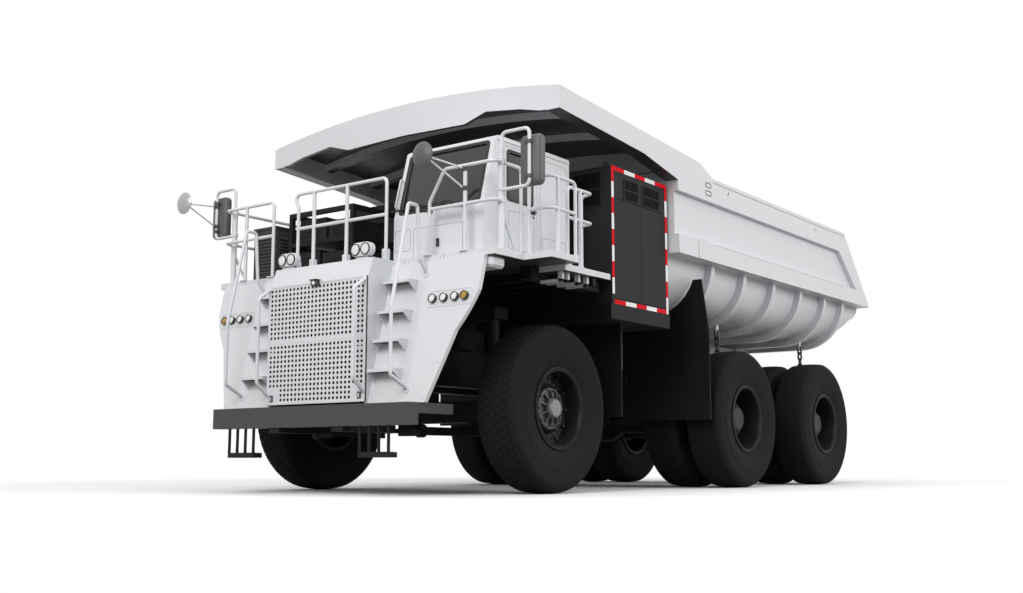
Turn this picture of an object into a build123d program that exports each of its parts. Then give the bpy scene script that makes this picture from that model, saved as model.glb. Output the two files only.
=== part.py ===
"""Three-axle mining dump truck with a battery cabinet, a rear dump bed and a canopy over the cab.

Millimetres. X is across (+X is the truck's left), Y is along (the front is -Y), Z is up from the ground.
The origin is on the ground under the middle of the truck's box.
"""

import os
from math import atan2, cos, radians, sin, sqrt, tan

from build123d import *

# Wheels and axles
front_axle_y = -3820.5
wheelbase = 4519.0
tandem_pitch = 3036.0
tyre_radius = 1025.0
tyre_width = 565.0
front_track = 3836.0
rear_outer_track = 4475.0
dual_spacing = 720.0
bead_radius = 480.0
flange_radius = 504.0
flange_width = 25.0
rim_wall = 36.0
hub_radius = 250.0
spindle_radius = 120.0
running_gap = 0.05
loose_gap = 0.3
swing_gap = 6.0
hinge_radius = 5.5
hinge_inset = 8.0
hinge_depth = 30.0

# Ladder frame
rail_inner = 440.0
rail_outer = 620.0
rail_bottom_z = 1340.0
rail_top_z = 1820.0
frame_front_y = front_axle_y - 1990.0
rail_front_y = front_axle_y - 1640.0
cross_length = 200.0
cross_height = 300.0
horn_top_z = 1035.0
tow_bore_radius = 40.0
tow_plate = 60.0
weld_gap = 0.3
hoist_plate_thick = 70.0

# Drive motor
motor_y = (front_axle_y + 1500.0, front_axle_y + 2700.0)
motor_radius = 330.0

# Front end
bumper_depth = 168.0
bumper_half = 1640.0
bumper_bottom_z = 787.0
bumper_top_z = 1035.0
bumper_return = 600.0
return_thick = 80.0
return_height = 115.0
grille_y = front_axle_y - 2004.0
grille_thick = 24.0
grille_half = 833.0
grille_bottom_z = 1066.0
grille_top_z = 2532.0
grille_columns = 25
grille_rows = 24
grille_hole = 19.0
hood_edge_y = front_axle_y - 1898.0
hood_top_z = 2763.0
panel = 30.0
pack_y = (grille_y + 90.0, grille_y + 330.0)
pack_bottom_z = 1110.0
pack_top_z = 2460.0
fascia_low = (front_axle_y - 1950.0, 1050.0)
fascia_high = (front_axle_y - 1560.0, 2700.0)
fascia_thick = 60.0
lamp_z = 2225.0
lamp_xs = (1574.0, 1738.0, 1901.0)
turn_lamp_x = 2043.0
lamp_radius = 52.0
lamp_depth = 46.0
work_lamp_xs = (555.0, 715.0)
work_lamp_radius = 76.0

# Ladder steps and rails
step_inner = 880.0
step_outer = 1290.0
step_tops = (1430.0, 1777.0, 2119.0, 2480.0)
step_reach = 168.0
step_thick = 36.0
step_bracket = 150.0
bracket_thick = 14.0
tube_radius = 21.0
post_radius = 24.0
ladder_rail_y = front_axle_y - 2186.0
ladder_outer_x = 1392.0
ladder_inner_x = 812.0

# Deck, landing and rails
deck_top_z = 2771.0
deck_thick = 75.0
deck_front_y = front_axle_y - 1530.0
deck_half = 2348.0
rail_height = 1011.0
mid_rail_height = 560.0
rail_inset = 26.0
landing_reach = 2745.0
landing_front_y = front_axle_y - 985.0
landing_back_y = front_axle_y - 430.0
walkway_reach = 2575.0
walkway_back_y = front_axle_y + 200.0
walkway_drop = 70.0
landing_rail_height = 885.0
landing_mid_height = 510.0
rail_bend = 70.0
front_rail_end = 1355.0
front_post_x = 1893.0
side_post_y = front_axle_y - 330.0
edge_rail_end_y = front_axle_y - 1000.0
rail_knee_height = 640.0
rail_slant = 228.0
hood_rail_half = 765.0
hood_rail_y = front_axle_y - 1613.0
hood_rail_flare = 95.0
hood_rail_drop = 170.0
hood_post_xs = (-480.0, 100.0)

# Mirrors
mirror_post_x = 2310.0
mirror_post_y = front_axle_y - 1360.0
mirror_post_radius = 38.0
mirror_post_height = 1060.0
brace_height = 430.0
brace_run = 290.0
brace_radius = 18.0
hoop_reach = 2705.0
hoop_low_z = 3460.0
hoop_top_z = 4130.0
mirror_x = 2690.0
mirror_width = 300.0
mirror_depth = 110.0
mirror_height = 590.0
round_mirror_radius = 150.0
round_mirror_thick = 60.0
rod_thick = 24.0
clamp_depth = 30.0

# Cab
cab_inner_x = 640.0
cab_outer_x = 2030.0
cab_front_y = front_axle_y - 1340.0
cab_back_y = front_axle_y + 440.0
cab_sill_z = 3330.0
cab_brow = (front_axle_y - 1110.0, 4190.0)
cab_roof_z = 4225.0
cab_wall = 50.0
glass_thick = 10.0
door_front_y = front_axle_y - 930.0
door_width = 664.0
door_bottom_z = 2830.0
door_top_z = 4130.0
window_bottom_z = 3485.0
window_top_z = 4070.0

# Right deck equipment
louvre_box_x = (-2167.0, -1725.0)
louvre_box_y = (front_axle_y - 1127.0, front_axle_y - 480.0)
louvre_box_height = 790.0
rack_x = (-1500.0, -300.0)
rack_y = (front_axle_y - 1100.0, front_axle_y - 100.0)
rack_height = 930.0
rack_bar = 60.0

# Battery cabinet
cabinet_half = 2358.0
cabinet_front_y = front_axle_y + 933.0
cabinet_depth = 1461.0
cabinet_top_z = 4222.0
tray_top_z = 2395.0
tray_thick = 195.0
tray_margin = 30.0
cabinet_wall = 50.0
cabinet_door_low = 70.0
cabinet_door_top_z = 3800.0
cabinet_post = 66.0
battery_gap = 60.0

# Front suspension and steering
kingpin_x = 1400.0
kingpin_radius = 70.0
axle_half_depth = 150.0
axle_bottom_z = 880.0
axle_top_z = 1150.0
fork_height = 90.0
strut_x = 1150.0
strut_radius = 105.0
strut_top_z = 2180.0
strut_bracket = 150.0
arm_reach = 420.0
arm_z = 760.0
link_x = 880.0
link_eye_y = front_axle_y - 1075.0
link_z = 750.0

# Rear axles
housing_radius = 190.0
banjo_radius = 320.0
housing_half = 1190.0
rear_strut_x = 760.0
rear_strut_radius = 90.0

# Guards
flap_y = front_axle_y + 1485.0
flap_outer = 2152.0
flap_inner = 1010.0
flap_bottom_z = 968.0
sheet = 30.0
guard_y = front_axle_y + 3280.0
guard_outer = 2510.0
guard_inner = 1062.0
guard_bottom_z = 977.0
guard_shoulder_z = 2234.0
guard_apex = (2406.0, 3002.0)
guard_clearance = 40.0

# Dump bed
bed_half = 2520.0
bed_front_y = front_axle_y + 2450.0
bed_toe_y = front_axle_y + 2760.0
bed_heel_y = front_axle_y + 8840.0
tail_under = (front_axle_y + 9565.0, 3033.0)
tail_tip_y = front_axle_y + 9848.0
tail_tip_z = 3280.0
tail_round = 60.0
tail_top_y = front_axle_y + 8706.0
belt_bottom_z = 3265.0
belt_top_z = 3535.0
rail_low_z = 4150.0
bed_top_z = 4517.0
shoulder_y = front_axle_y + 3111.0
shoulder_end_y = front_axle_y + 3497.0
shoulder_z = 4678.0
bed_wall = 60.0
panel_recess = 75.0
belly_centre_x = 1560.0
belly_radius = 720.0
rib_depth = 110.0
rib_width = 110.0
rib_offsets = (3717.0, 4794.0, 5872.0, 6960.0, 8016.0, 8865.0)

# Canopy
canopy_front_y = front_axle_y - 482.0
canopy_side_z = 4900.0
canopy_crown_z = 5120.0
canopy_plate = 45.0
canopy_beam = 200.0
canopy_beam_drop = 285.0
canopy_kink = (front_axle_y + 1520.0, 4475.0)
canopy_rib_ys = (front_axle_y + 420.0, front_axle_y + 1400.0)
canopy_rib_drop = 150.0
lip_thick = 60.0

# Bed pivot, hoists and ejectors
bed_pivot_y = front_axle_y + 8300.0
bed_pivot_z = 1950.0
pivot_radius = 70.0
pivot_boss = 130.0
ear_thick = 50.0
ear_gap = 10.0
sill_gap = 6.0
hoist_x = 950.0
hoist_y = front_axle_y + 6037.0
hoist_low_z = 850.0
hoist_high_z = 2290.0
hoist_radius = 105.0
hoist_wall = 20.0
hoist_pin = 55.0
eye_radius = 75.0
eye_width = 120.0
ejector_ribs = (1, 4)
ejector_drop = 70.0
ejector_bottom_z = 1500.0
chain_link = 130.0
chain_bar = 26.0

# Worked out from the values above
mid_axle_y = front_axle_y + wheelbase
rear_axle_y = mid_axle_y + tandem_pitch
axle_z = tyre_radius
front_wheel_x = front_track / 2
outer_wheel_x = rear_outer_track / 2
inner_wheel_x = outer_wheel_x - dual_spacing
dual_gap_x = (outer_wheel_x + inner_wheel_x) / 2
deck_bottom_z = deck_top_z - deck_thick
deck_back_y = cabinet_front_y - tray_margin
cabinet_back_y = cabinet_front_y + cabinet_depth
tray_bottom_z = tray_top_z - tray_thick
tray_y = (cabinet_front_y - tray_margin, cabinet_back_y + tray_margin)
rail_top = deck_top_z + rail_height
rail_mid = deck_top_z + mid_rail_height
bumper_front_y = frame_front_y - bumper_depth
belly_bottom_z = belt_bottom_z - belly_radius
rib_radius = belly_radius + rib_depth
rib_bottom_z = belt_bottom_z - rib_radius
rib_ys = [front_axle_y + offset for offset in rib_offsets]
sill_bottom_z = rail_top_z + sill_gap
frame_back_y = bed_pivot_y + pivot_boss
rake = (fascia_high[0] - fascia_low[0]) / (fascia_high[1] - fascia_low[1])
canopy_slope = (canopy_side_z - shoulder_z) / (shoulder_y - canopy_front_y)
stage_radius = hoist_radius - hoist_wall
rod_radius = stage_radius - hoist_wall
pin_z = rib_bottom_z - ejector_drop / 2


def block(x, y, z):
    """A box between the low and high ends given for each axis."""
    size = [high - low for low, high in (x, y, z)]
    middle = [(high + low) / 2 for low, high in (x, y, z)]
    return Pos(*middle) * Box(*size)


def about(centre, half):
    """The low and high ends of a stretch centred on a value."""
    return (centre - half, centre + half)


def fused(shapes):
    """One shape from several that meet or overlap."""
    return shapes[0].fuse(*shapes[1:]) if len(shapes) > 1 else shapes[0]


def mirrored(shape):
    """The same shape on the truck's other side."""
    return mirror(shape, about=Plane.YZ)


def pair(shape):
    """A shape and its mirror image, as solids that don't touch."""
    return Compound(shape.solids() + mirrored(shape).solids())


def outline(*curves):
    """A face bounded by curves that run head to tail."""
    return make_face([edge for curve in curves for edge in curve.edges()])


def side_prism(face, x):
    """A face drawn in (Y, Z), drawn out across the truck."""
    return extrude(Plane.YZ.offset(x[0]) * face, amount=x[1] - x[0], dir=(1, 0, 0))


def front_prism(face, y):
    """A face drawn in (X, Z), drawn out along the truck."""
    place = Plane(origin=(0, y[0], 0), x_dir=(1, 0, 0), z_dir=(0, -1, 0))
    return extrude(place * face, amount=y[1] - y[0], dir=(0, 1, 0))


def side_plate(points, x):
    """A plate with straight edges drawn in (Y, Z)."""
    return side_prism(outline(Polyline(*points, close=True)), x)


def bar(start, end, radius):
    """A round bar between two points."""
    start, end = Vector(*start), Vector(*end)
    place = Plane(origin=start, z_dir=end - start)
    low = (Align.CENTER, Align.CENTER, Align.MIN)
    return place * Cylinder(radius, (end - start).length, align=low)


def bent_tube(points, radius, bend):
    """A round tube along straight runs joined by bends."""
    if len(points) == 2:
        return bar(*points, radius)
    path = FilletPolyline(*points, radius=bend)
    start = Plane(origin=path @ 0, z_dir=path % 0)
    return sweep(start * Circle(radius), path=path)


def turned(points):
    """A ring turned about the X axis from corners drawn as (X, radius)."""
    return turned_face(outline(Polyline(*points, close=True)))


def turned_face(face):
    """A ring turned about the X axis from a face drawn as (X, radius)."""
    place = Plane(origin=(0, 0, 0), x_dir=(1, 0, 0), z_dir=(0, -1, 0))
    return revolve(place * face, axis=Axis.X)


def hinge_pins(x, y, z, radius, depth):
    """Two upright pins, or their holes, at the low and high ends of a doorway."""
    low = bar((x, y, z[0] - 1), (x, y, z[0] + depth), radius)
    high = bar((x, y, z[1] - depth), (x, y, z[1] + 1), radius)
    return [low, high]


def fascia_y(z):
    """The front face of the raked fascia at a height."""
    return fascia_low[0] + rake * (z - fascia_low[1])


def tyre():
    """A tyre about the X axis, with round sidewalls, shoulders and crown."""
    half = tyre_width / 2
    seat = half - flange_width * 2
    wall_low = flange_radius + 236
    wall_high = tyre_radius - 165
    tread = half - 68
    tread_radius = tyre_radius - 13
    bulge = half - 20
    side = [
        Line((seat, bead_radius), (seat, flange_radius + 2)),
        ThreePointArc((seat, flange_radius + 2), (bulge, flange_radius + 110), (half, wall_low)),
        Line((half, wall_low), (half, wall_high)),
        ThreePointArc((half, wall_high), (half - 15, tyre_radius - 65), (tread, tread_radius)),
    ]
    other = [mirror(curve, about=Plane.YZ) for curve in side]
    crown = ThreePointArc((tread, tread_radius), (0, tyre_radius), (-tread, tread_radius))
    seat_line = Line((-seat, bead_radius), (seat, bead_radius))
    return turned_face(outline(*side, crown, *other, seat_line))


def rim(disc_x, disc_out):
    """A rim about the X axis, with a flange at each side and a disc; disc_out is its outer hub face."""
    half = tyre_width / 2
    seat = half - flange_width * 2
    edge = seat + flange_width
    inner = bead_radius - rim_wall
    barrel = turned(
        [
            (-edge, inner),
            (-edge, flange_radius),
            (-seat, flange_radius),
            (-seat, bead_radius),
            (seat, bead_radius),
            (seat, flange_radius),
            (edge, flange_radius),
            (edge, inner),
        ]
    )
    bore = spindle_radius + running_gap
    disc = turned(
        [
            (disc_x - 20, inner + 1),
            (disc_x - 20, hub_radius),
            (disc_x - 120, hub_radius),
            (disc_x - 120, bore),
            (disc_out, bore),
            (disc_out, hub_radius - 30),
            (disc_x + 60, hub_radius),
            (disc_x + 20, inner + 1),
        ]
    )
    return barrel.fuse(disc)


def front_rim():
    """The front rim with its hub cover and round cap, open towards the axle."""
    wheel = rim(20, 150)
    cover = turned([(149, 0), (149, spindle_radius + 20), (205, 95), (205, 0)])
    return wheel.fuse(cover)


def rear_rims():
    """Twin rims about the X axis, joined by a spacer, with a dished cover on the outer one."""
    spacing = dual_spacing / 2
    inner = bead_radius - rim_wall
    outer = Pos(spacing, 0, 0) * rim(-120, 60)
    inside = Pos(-spacing, 0, 0) * rim(120, 220)
    reach = spacing - tyre_width / 2 + flange_width + 1
    spacer = turned([(-reach, inner), (-reach, bead_radius), (reach, bead_radius), (reach, inner)])
    cap_x = spacing + 59
    cap = turned([(cap_x, 0), (cap_x, hub_radius - 40), (cap_x + 60, hub_radius - 90), (cap_x + 60, 0)])
    return fused([outer, inside, spacer, cap])


def frame_side():
    """The left rail and the members that stand on it, hang from it or butt against it."""
    rail_x = (rail_inner, rail_outer)
    outside = rail_outer + weld_gap
    under, over = rail_bottom_z - weld_gap, rail_top_z + weld_gap
    neck_y = (rail_front_y, rail_front_y + 2 * cross_length)
    tow_x = (rail_inner + rail_outer) / 2
    tow_z = (bumper_bottom_z - tow_plate, bumper_bottom_z)
    tow = block(rail_x, (bumper_front_y + 20, neck_y[1]), tow_z)
    tow_hole = Pos(tow_x, bumper_front_y + 100, tow_z[0]) * Cylinder(tow_bore_radius, 4 * tow_plate)
    rail = block(rail_x, (rail_front_y, frame_back_y), (rail_bottom_z, rail_top_z))
    neck = block(rail_x, neck_y, (horn_top_z + weld_gap, under))
    horn = block(rail_x, (frame_front_y, neck_y[1]), (bumper_bottom_z + weld_gap, horn_top_z))
    post_ys = [(deck_front_y + 60, deck_front_y + 220), (deck_back_y - 200, deck_back_y - 60)]
    posts = [block(rail_x, y, (over, deck_bottom_z)) for y in post_ys]
    tray_ys = (tray_y[0] + 120, tray_y[1] - 120)
    pedestals = [block(rail_x, about(y, 75), (over, tray_bottom_z)) for y in tray_ys]
    tower_x = about(rail_outer, 90)
    tower = block(tower_x, about(front_axle_y, 170), (over, deck_bottom_z))
    arm_x = (tower_x[1] + weld_gap, strut_x + strut_radius + 20)
    arm = block(arm_x, about(front_axle_y, 140), (strut_top_z, strut_top_z + strut_bracket))
    hanger = block((rail_outer - 60, link_x - 40), about(link_eye_y, 55), (link_z - 60, under))
    boss = bar((rail_inner, bed_pivot_y, bed_pivot_z), (rail_outer, bed_pivot_y, bed_pivot_z), pivot_boss)
    foot = block(rail_x, about(bed_pivot_y, pivot_boss), (over, bed_pivot_z))
    reach = ear_gap + ear_thick
    stub_xs = [(rail_inner - reach, rail_inner - weld_gap), (outside, rail_outer + reach)]
    pivot = (bed_pivot_y, bed_pivot_z)
    stubs = [bar((low, *pivot), (high, *pivot), pivot_radius) for low, high in stub_xs]
    plate_x = (rail_outer - hoist_plate_thick, rail_outer)
    hoist_plate = block(plate_x, about(hoist_y, 150), (hoist_low_z - 90, under))
    hoist_stub = bar((outside, hoist_y, hoist_low_z), (hoist_x + 90, hoist_y, hoist_low_z), hoist_pin)
    box_z = (rail_top_z - 220, rail_top_z - 60)
    boxes = [block((outside, rear_strut_x + 100), about(y, 120), box_z) for y in (mid_axle_y, rear_axle_y)]
    guard_arm = block((outside, guard_inner + 90), (guard_y - 80, guard_y), (1560, 1680))
    members = [tow - tow_hole, rail, neck, horn, *posts, *pedestals, tower, arm, hanger, boss.fuse(foot)]
    members += [*stubs, hoist_plate, hoist_stub, *boxes, guard_arm]
    return members


def frame():
    """The ladder frame: box rails, cross members, brackets and pins, each a solid parted at its weld."""
    inside = rail_inner - weld_gap
    middle_z = (rail_bottom_z + rail_top_z) / 2
    cross_ys = [rail_front_y + cross_length, front_axle_y - 620, motor_y[0] - cross_length / 2]
    cross_ys += [motor_y[1] + cross_length / 2, hoist_y, frame_back_y - cross_length / 2]
    cross_z = about(middle_z, cross_height / 2)
    crosses = [block((-inside, inside), about(y, cross_length / 2), cross_z) for y in cross_ys]
    tube_x = rail_outer - hoist_plate_thick - weld_gap
    hoist_tube = bar((-tube_x, hoist_y, hoist_low_z), (tube_x, hoist_y, hoist_low_z), hoist_pin)
    pack_shelf = block((-rail_outer, rail_outer), pack_y, (horn_top_z + weld_gap, pack_bottom_z))
    tow_y = (frame_back_y + weld_gap, frame_back_y + 220)
    rear_tow = block((-120, 120), tow_y, about(middle_z, tow_plate / 2))
    rear_hole = Pos(0, frame_back_y + 120, middle_z) * Cylinder(tow_bore_radius, 4 * tow_plate)
    solids = [solid for member in frame_side() for solid in pair(member).solids()]
    for member in [*crosses, hoist_tube, pack_shelf, rear_tow - rear_hole]:
        solids += member.solids()
    return Compound(solids)


def bumper():
    """A deep bar across the front with shallower returns towards the wheels."""
    front_y = (bumper_front_y, frame_front_y)
    front = block((-bumper_half, bumper_half), front_y, (bumper_bottom_z, bumper_top_z))
    side_x = (bumper_half - return_thick, bumper_half)
    side_y = (frame_front_y, frame_front_y + bumper_return)
    side = block(side_x, side_y, (bumper_top_z - return_height, bumper_top_z))
    return fused([front, side, mirrored(side)])


def bumper_steps():
    """A tread hung on four straps under each end of the bumper."""
    step_x = (step_inner, step_outer + 60)
    step_y = (bumper_front_y + 10, bumper_front_y + 150)
    tread = block(step_x, step_y, (430, 490))
    straps = [
        block(about(x, 14), (step_y[0], step_y[0] + 24), (480, bumper_bottom_z))
        for x in [step_x[0] + 14 + index * (step_x[1] - step_x[0] - 28) / 3 for index in range(4)]
    ]
    return pair(fused([tread, *straps]))


def grille():
    """A plate with rows of round holes and one blank row across the middle."""
    height = grille_top_z - grille_bottom_z
    plate = Pos(0, (grille_top_z + grille_bottom_z) / 2) * Rectangle(2 * grille_half, height)
    hole = RegularPolygon(grille_hole, 8)
    pitch_x = 2 * (grille_half - 60) / (grille_columns - 1)
    pitch_z = (height - 120) / (grille_rows - 1)
    blank = grille_rows // 2
    spots = [
        (column * pitch_x - grille_half + 60, grille_bottom_z + 60 + row * pitch_z)
        for column in range(grille_columns)
        for row in range(grille_rows)
        if row != blank and not (row < 3 and not 3 <= column < grille_columns - 3)
    ]
    holes = [(Pos(*spot) * hole).wire() for spot in spots]
    return front_prism(Face(plate.wire(), holes), (grille_y, grille_y + grille_thick))


def radiator_housing():
    """The box behind the grille: two sides and a hood that slopes up to the deck."""
    behind = grille_y + grille_thick
    outer = [
        (behind, bumper_top_z),
        (behind, grille_top_z),
        (hood_edge_y, hood_top_z),
        (deck_front_y, hood_top_z),
        (deck_front_y, bumper_top_z),
    ]
    inner = [
        (behind - 1, bumper_top_z - 1),
        (behind - 1, grille_top_z - panel),
        (hood_edge_y + panel / 2, hood_top_z - panel),
        (deck_front_y + 1, hood_top_z - panel),
        (deck_front_y + 1, bumper_top_z - 1),
    ]
    half = grille_half
    shell = side_plate(outer, (-half, half)) - side_plate(inner, (-half + panel, half - panel))
    brow_z = (grille_top_z - 2 * panel, grille_top_z - panel)
    brow = block((-half + panel, half - panel), (behind, behind + panel), brow_z)
    return shell.fuse(brow)


def cooling_pack():
    """The plain block of coolers that shows through the grille."""
    return block((-grille_half + 70, grille_half - 70), pack_y, (pack_bottom_z, pack_top_z))


def drive_motor():
    """The drive motor, a plain round block between the rails."""
    z = (rail_bottom_z + rail_top_z) / 2
    return bar((0, motor_y[0], z), (0, motor_y[1], z), motor_radius)


def fascia():
    """A raked panel each side of the grille, whose outer edge opens out over the wheel."""
    edge = [(1690, bumper_top_z), (1836, 1450), (1970, 1840)]
    edge += [(2133, 2105), (2213, 2290), (2230, deck_bottom_z)]
    face = outline(
        Polyline((grille_half, deck_bottom_z), (grille_half, bumper_top_z), *edge[:3]),
        ThreePointArc(edge[2], edge[3], edge[4]),
        Polyline(edge[4], edge[5], (grille_half, deck_bottom_z)),
    )
    low, high = bumper_top_z - 200, deck_bottom_z + 200
    slab = side_plate(
        [
            (fascia_y(low), low),
            (fascia_y(low) + fascia_thick, low),
            (fascia_y(high) + fascia_thick, high),
            (fascia_y(high), high),
        ],
        (0, deck_half),
    )
    return front_prism(face, (grille_y - 200, deck_front_y + 400)) & slab


def lamp(x, radius=lamp_radius):
    """A round lamp set against the fascia, square to its rake."""
    place = Plane(origin=(x, fascia_y(lamp_z), lamp_z), x_dir=(1, 0, 0), z_dir=(0, -1, rake))
    low = (Align.CENTER, Align.CENTER, Align.MIN)
    return place * Cylinder(radius, lamp_depth, align=low)


def headlamps():
    """Three round lamps a side on the fascia."""
    lamps = [lamp(x) for x in lamp_xs]
    return Compound([solid for one in lamps for solid in pair(one).solids()])


def turn_lamps():
    """The outermost lamp each side."""
    return pair(lamp(turn_lamp_x))


def work_lamps():
    """Twin round lamps on a foot at each side of the hood's top."""
    y = hood_edge_y + 40
    z = hood_top_z + 110
    foot = block((work_lamp_xs[0] - 20, work_lamp_xs[1] + 20), about(y, 35), (hood_top_z, hood_top_z + 40))
    heads = [bar((x, y - 55, z), (x, y + 45, z), work_lamp_radius) for x in work_lamp_xs]
    stems = [block(about(x, 20), about(y, 20), (hood_top_z + 20, z)) for x in work_lamp_xs]
    return pair(fused([foot, *heads, *stems]))


def ladder_steps():
    """Treads with triangular end brackets, standing out from the fascia."""
    solids = []
    for top in step_tops:
        front = fascia_y(top) - step_reach
        under = top - step_thick
        low = top - step_bracket
        tread_edge = [(fascia_y(top), top), (front, top), (front, under), (fascia_y(under), under)]
        end_edge = [(fascia_y(top), top), (front, top), (front, under), (fascia_y(low), low)]
        tread = side_plate(tread_edge, (step_inner, step_outer))
        end_xs = (step_inner, step_outer - bracket_thick)
        ends = [side_plate(end_edge, (x, x + bracket_thick)) for x in end_xs]
        solids += pair(fused([tread, *ends])).solids()
    return Compound(solids)


def ladder_rails():
    """A tall rail outside each ladder and a short one beside the grille."""
    low_z, end_z, high_z = 1190, 2550, 3330
    x = ladder_outer_x
    outer = bent_tube(
        [
            (x, fascia_y(low_z) + fascia_thick / 2, low_z),
            (x, ladder_rail_y, low_z + 150),
            (x, ladder_rail_y, 2110),
            (x, front_axle_y - 1920, high_z),
            (x, front_axle_y - 1765, high_z),
            (x, front_axle_y - 1715, end_z + 150),
            (x, fascia_y(end_z) + fascia_thick / 2, end_z),
        ],
        tube_radius,
        40,
    )
    x = ladder_inner_x
    inner = bent_tube(
        [
            (x, grille_y + grille_thick / 2, 1170),
            (x, ladder_rail_y, 1330),
            (x, ladder_rail_y, 2370),
            (x, grille_y + grille_thick / 2, 2510),
        ],
        tube_radius,
        60,
    )
    inner = inner - block((0, grille_half), (grille_y, grille_y + 200), (grille_bottom_z, grille_top_z))
    return Compound(pair(outer - fascia()).solids() + pair(inner).solids())


def deck():
    """The platform over the front wheels, with the cab door's landing and a lower walkway behind it."""
    main = block((-deck_half, deck_half), (deck_front_y, deck_back_y), (deck_bottom_z, deck_top_z))
    landing_y = (landing_front_y, landing_back_y)
    landing = block((deck_half - 5, landing_reach), landing_y, (deck_bottom_z, deck_top_z))
    low_z = (deck_bottom_z - walkway_drop, deck_top_z - walkway_drop)
    walkway = block((deck_half - 200, walkway_reach), (landing_back_y - 40, walkway_back_y), low_z)
    return fused([main, landing, walkway])


def rail_run(top, middle, posts, low_z):
    """A bent top tube, a bent tube below it, and posts from low_z up to the top tube."""
    high_z = max(z for _, _, z in top)
    tubes = [bent_tube(points, tube_radius, rail_bend) for points in (top, middle)]
    return fused([*tubes, *[bar((*post, low_z), (*post, high_z), post_radius) for post in posts]])


def deck_rail(sign):
    """The front and side rail of one half of the deck, its corner meeting the mirror's post."""
    edge = sign * (deck_half - rail_inset)
    front = deck_front_y + rail_inset
    end = sign * front_rail_end
    foot = (end, front, deck_top_z)
    corner = (edge, front)
    posts = [(sign * front_post_x, front)]
    if sign > 0:
        knee = (end, front, deck_top_z + rail_knee_height)
        side = (edge, edge_rail_end_y)
        top = [foot, knee, (end + rail_slant, front, rail_top), (*corner, rail_top)]
        low_end = (edge, mirror_post_y, rail_mid)
    else:
        side = (edge, deck_back_y - 120)
        top = [foot, (end, front, rail_top), (*corner, rail_top)]
        low_end = (*side, rail_mid)
        posts.append((edge, side_post_y))
    top += [(*side, rail_top), (*side, deck_top_z)]
    return rail_run(top, [(end, front, rail_mid), (*corner, rail_mid), low_end], posts, deck_top_z)


def hood_rail():
    """The rail on the hood, flared at its right end."""
    half, y = hood_rail_half, hood_rail_y
    top = [(half, y, hood_top_z), (half, y, rail_top), (-half - hood_rail_flare, y, rail_top)]
    top += [(-half, y, rail_top - hood_rail_drop), (-half, y, hood_top_z)]
    middle = [(half, y, rail_mid), (-half, y, rail_mid)]
    return rail_run(top, middle, [(x, y) for x in hood_post_xs], hood_top_z)


def landing_rail():
    """The rail along the front and outer edges of the door's landing."""
    out = landing_reach - rail_inset
    front, back = landing_front_y + rail_inset, landing_back_y - rail_inset
    plan = [(deck_half + 60, front), (out, front), (out, back)]
    top_z, mid_z = deck_top_z + landing_rail_height, deck_top_z + landing_mid_height
    top = [(*plan[0], deck_top_z), *[(*spot, top_z) for spot in plan], (*plan[-1], deck_top_z)]
    return rail_run(top, [(*spot, mid_z) for spot in plan], [(out, front + 2 * rail_bend)], deck_top_z)


def walkway_rail():
    """The rail along the lower walkway's outer edge and round its back end."""
    out = walkway_reach - rail_inset
    front, back = landing_back_y + 60, walkway_back_y - rail_inset
    plan = [(out, front), (out, back), (deck_half + 40, back)]
    low_z = deck_top_z - walkway_drop
    top_z, mid_z = deck_top_z + landing_rail_height, deck_top_z + landing_mid_height
    top = [(*plan[0], low_z), *[(*spot, top_z) for spot in plan], (*plan[-1], low_z)]
    return rail_run(top, [(*spot, mid_z) for spot in plan], [(out, (front + back) / 2)], low_z)


def deck_rails():
    """Rails along the deck's front and sides, on the hood and round the door's landing."""
    post = mirror_post()
    runs = [deck_rail(-1) - mirrored(post), deck_rail(1) - post, hood_rail(), landing_rail(), walkway_rail()]
    return Compound([solid for run in runs for solid in run.solids()])


def mirror_post():
    """The upright on the deck's left edge that carries the mirror's hoop."""
    x, y = mirror_post_x, mirror_post_y
    return bar((x, y, deck_top_z), (x, y, deck_top_z + mirror_post_height), mirror_post_radius)


def mirror_arms():
    """A braced post on each side of the deck with a hoop that carries the mirror."""
    x, y = mirror_post_x, mirror_post_y
    post_top = deck_top_z + mirror_post_height
    hoop = bent_tube(
        [(x, y, hoop_low_z), (hoop_reach, y, hoop_low_z), (hoop_reach, y, hoop_top_z), (x, y, hoop_top_z)]
        + [(x, y, post_top - 40)],
        tube_radius,
        rail_bend,
    )
    brace_foot = (x, y + brace_run, deck_top_z - 20)
    brace = bar((x, y, deck_top_z + brace_height), brace_foot, brace_radius)
    brace = brace - block(about(x, 100), (y, y + 2 * brace_run), (deck_bottom_z, deck_top_z))
    return pair(fused([mirror_post(), hoop, brace]))


def mirror_housings():
    """A tall mirror against the back of each hoop's outer tube."""
    front = mirror_post_y + tube_radius
    z = (hoop_low_z + hoop_top_z) / 2 - 30
    y = (front, front + mirror_depth)
    return pair(block(about(mirror_x, mirror_width / 2), y, about(z, mirror_height / 2)))


def round_mirror(centre, feet):
    """A round mirror that faces back, on rods from the points in feet."""
    back = Vector(0, 1, 0)
    middle = Vector(*centre)
    disc = bar(tuple(middle), tuple(middle + back * round_mirror_thick), round_mirror_radius)
    hub = tuple(middle + back * (round_mirror_thick / 2))
    rods = [bar(foot, hub, rod_thick / 2) for foot in feet]
    clamps = [Pos(*foot) * Box(2 * clamp_depth, clamp_depth, 2 * clamp_depth) for foot in feet]
    return fused([disc, *rods, *clamps])


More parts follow.
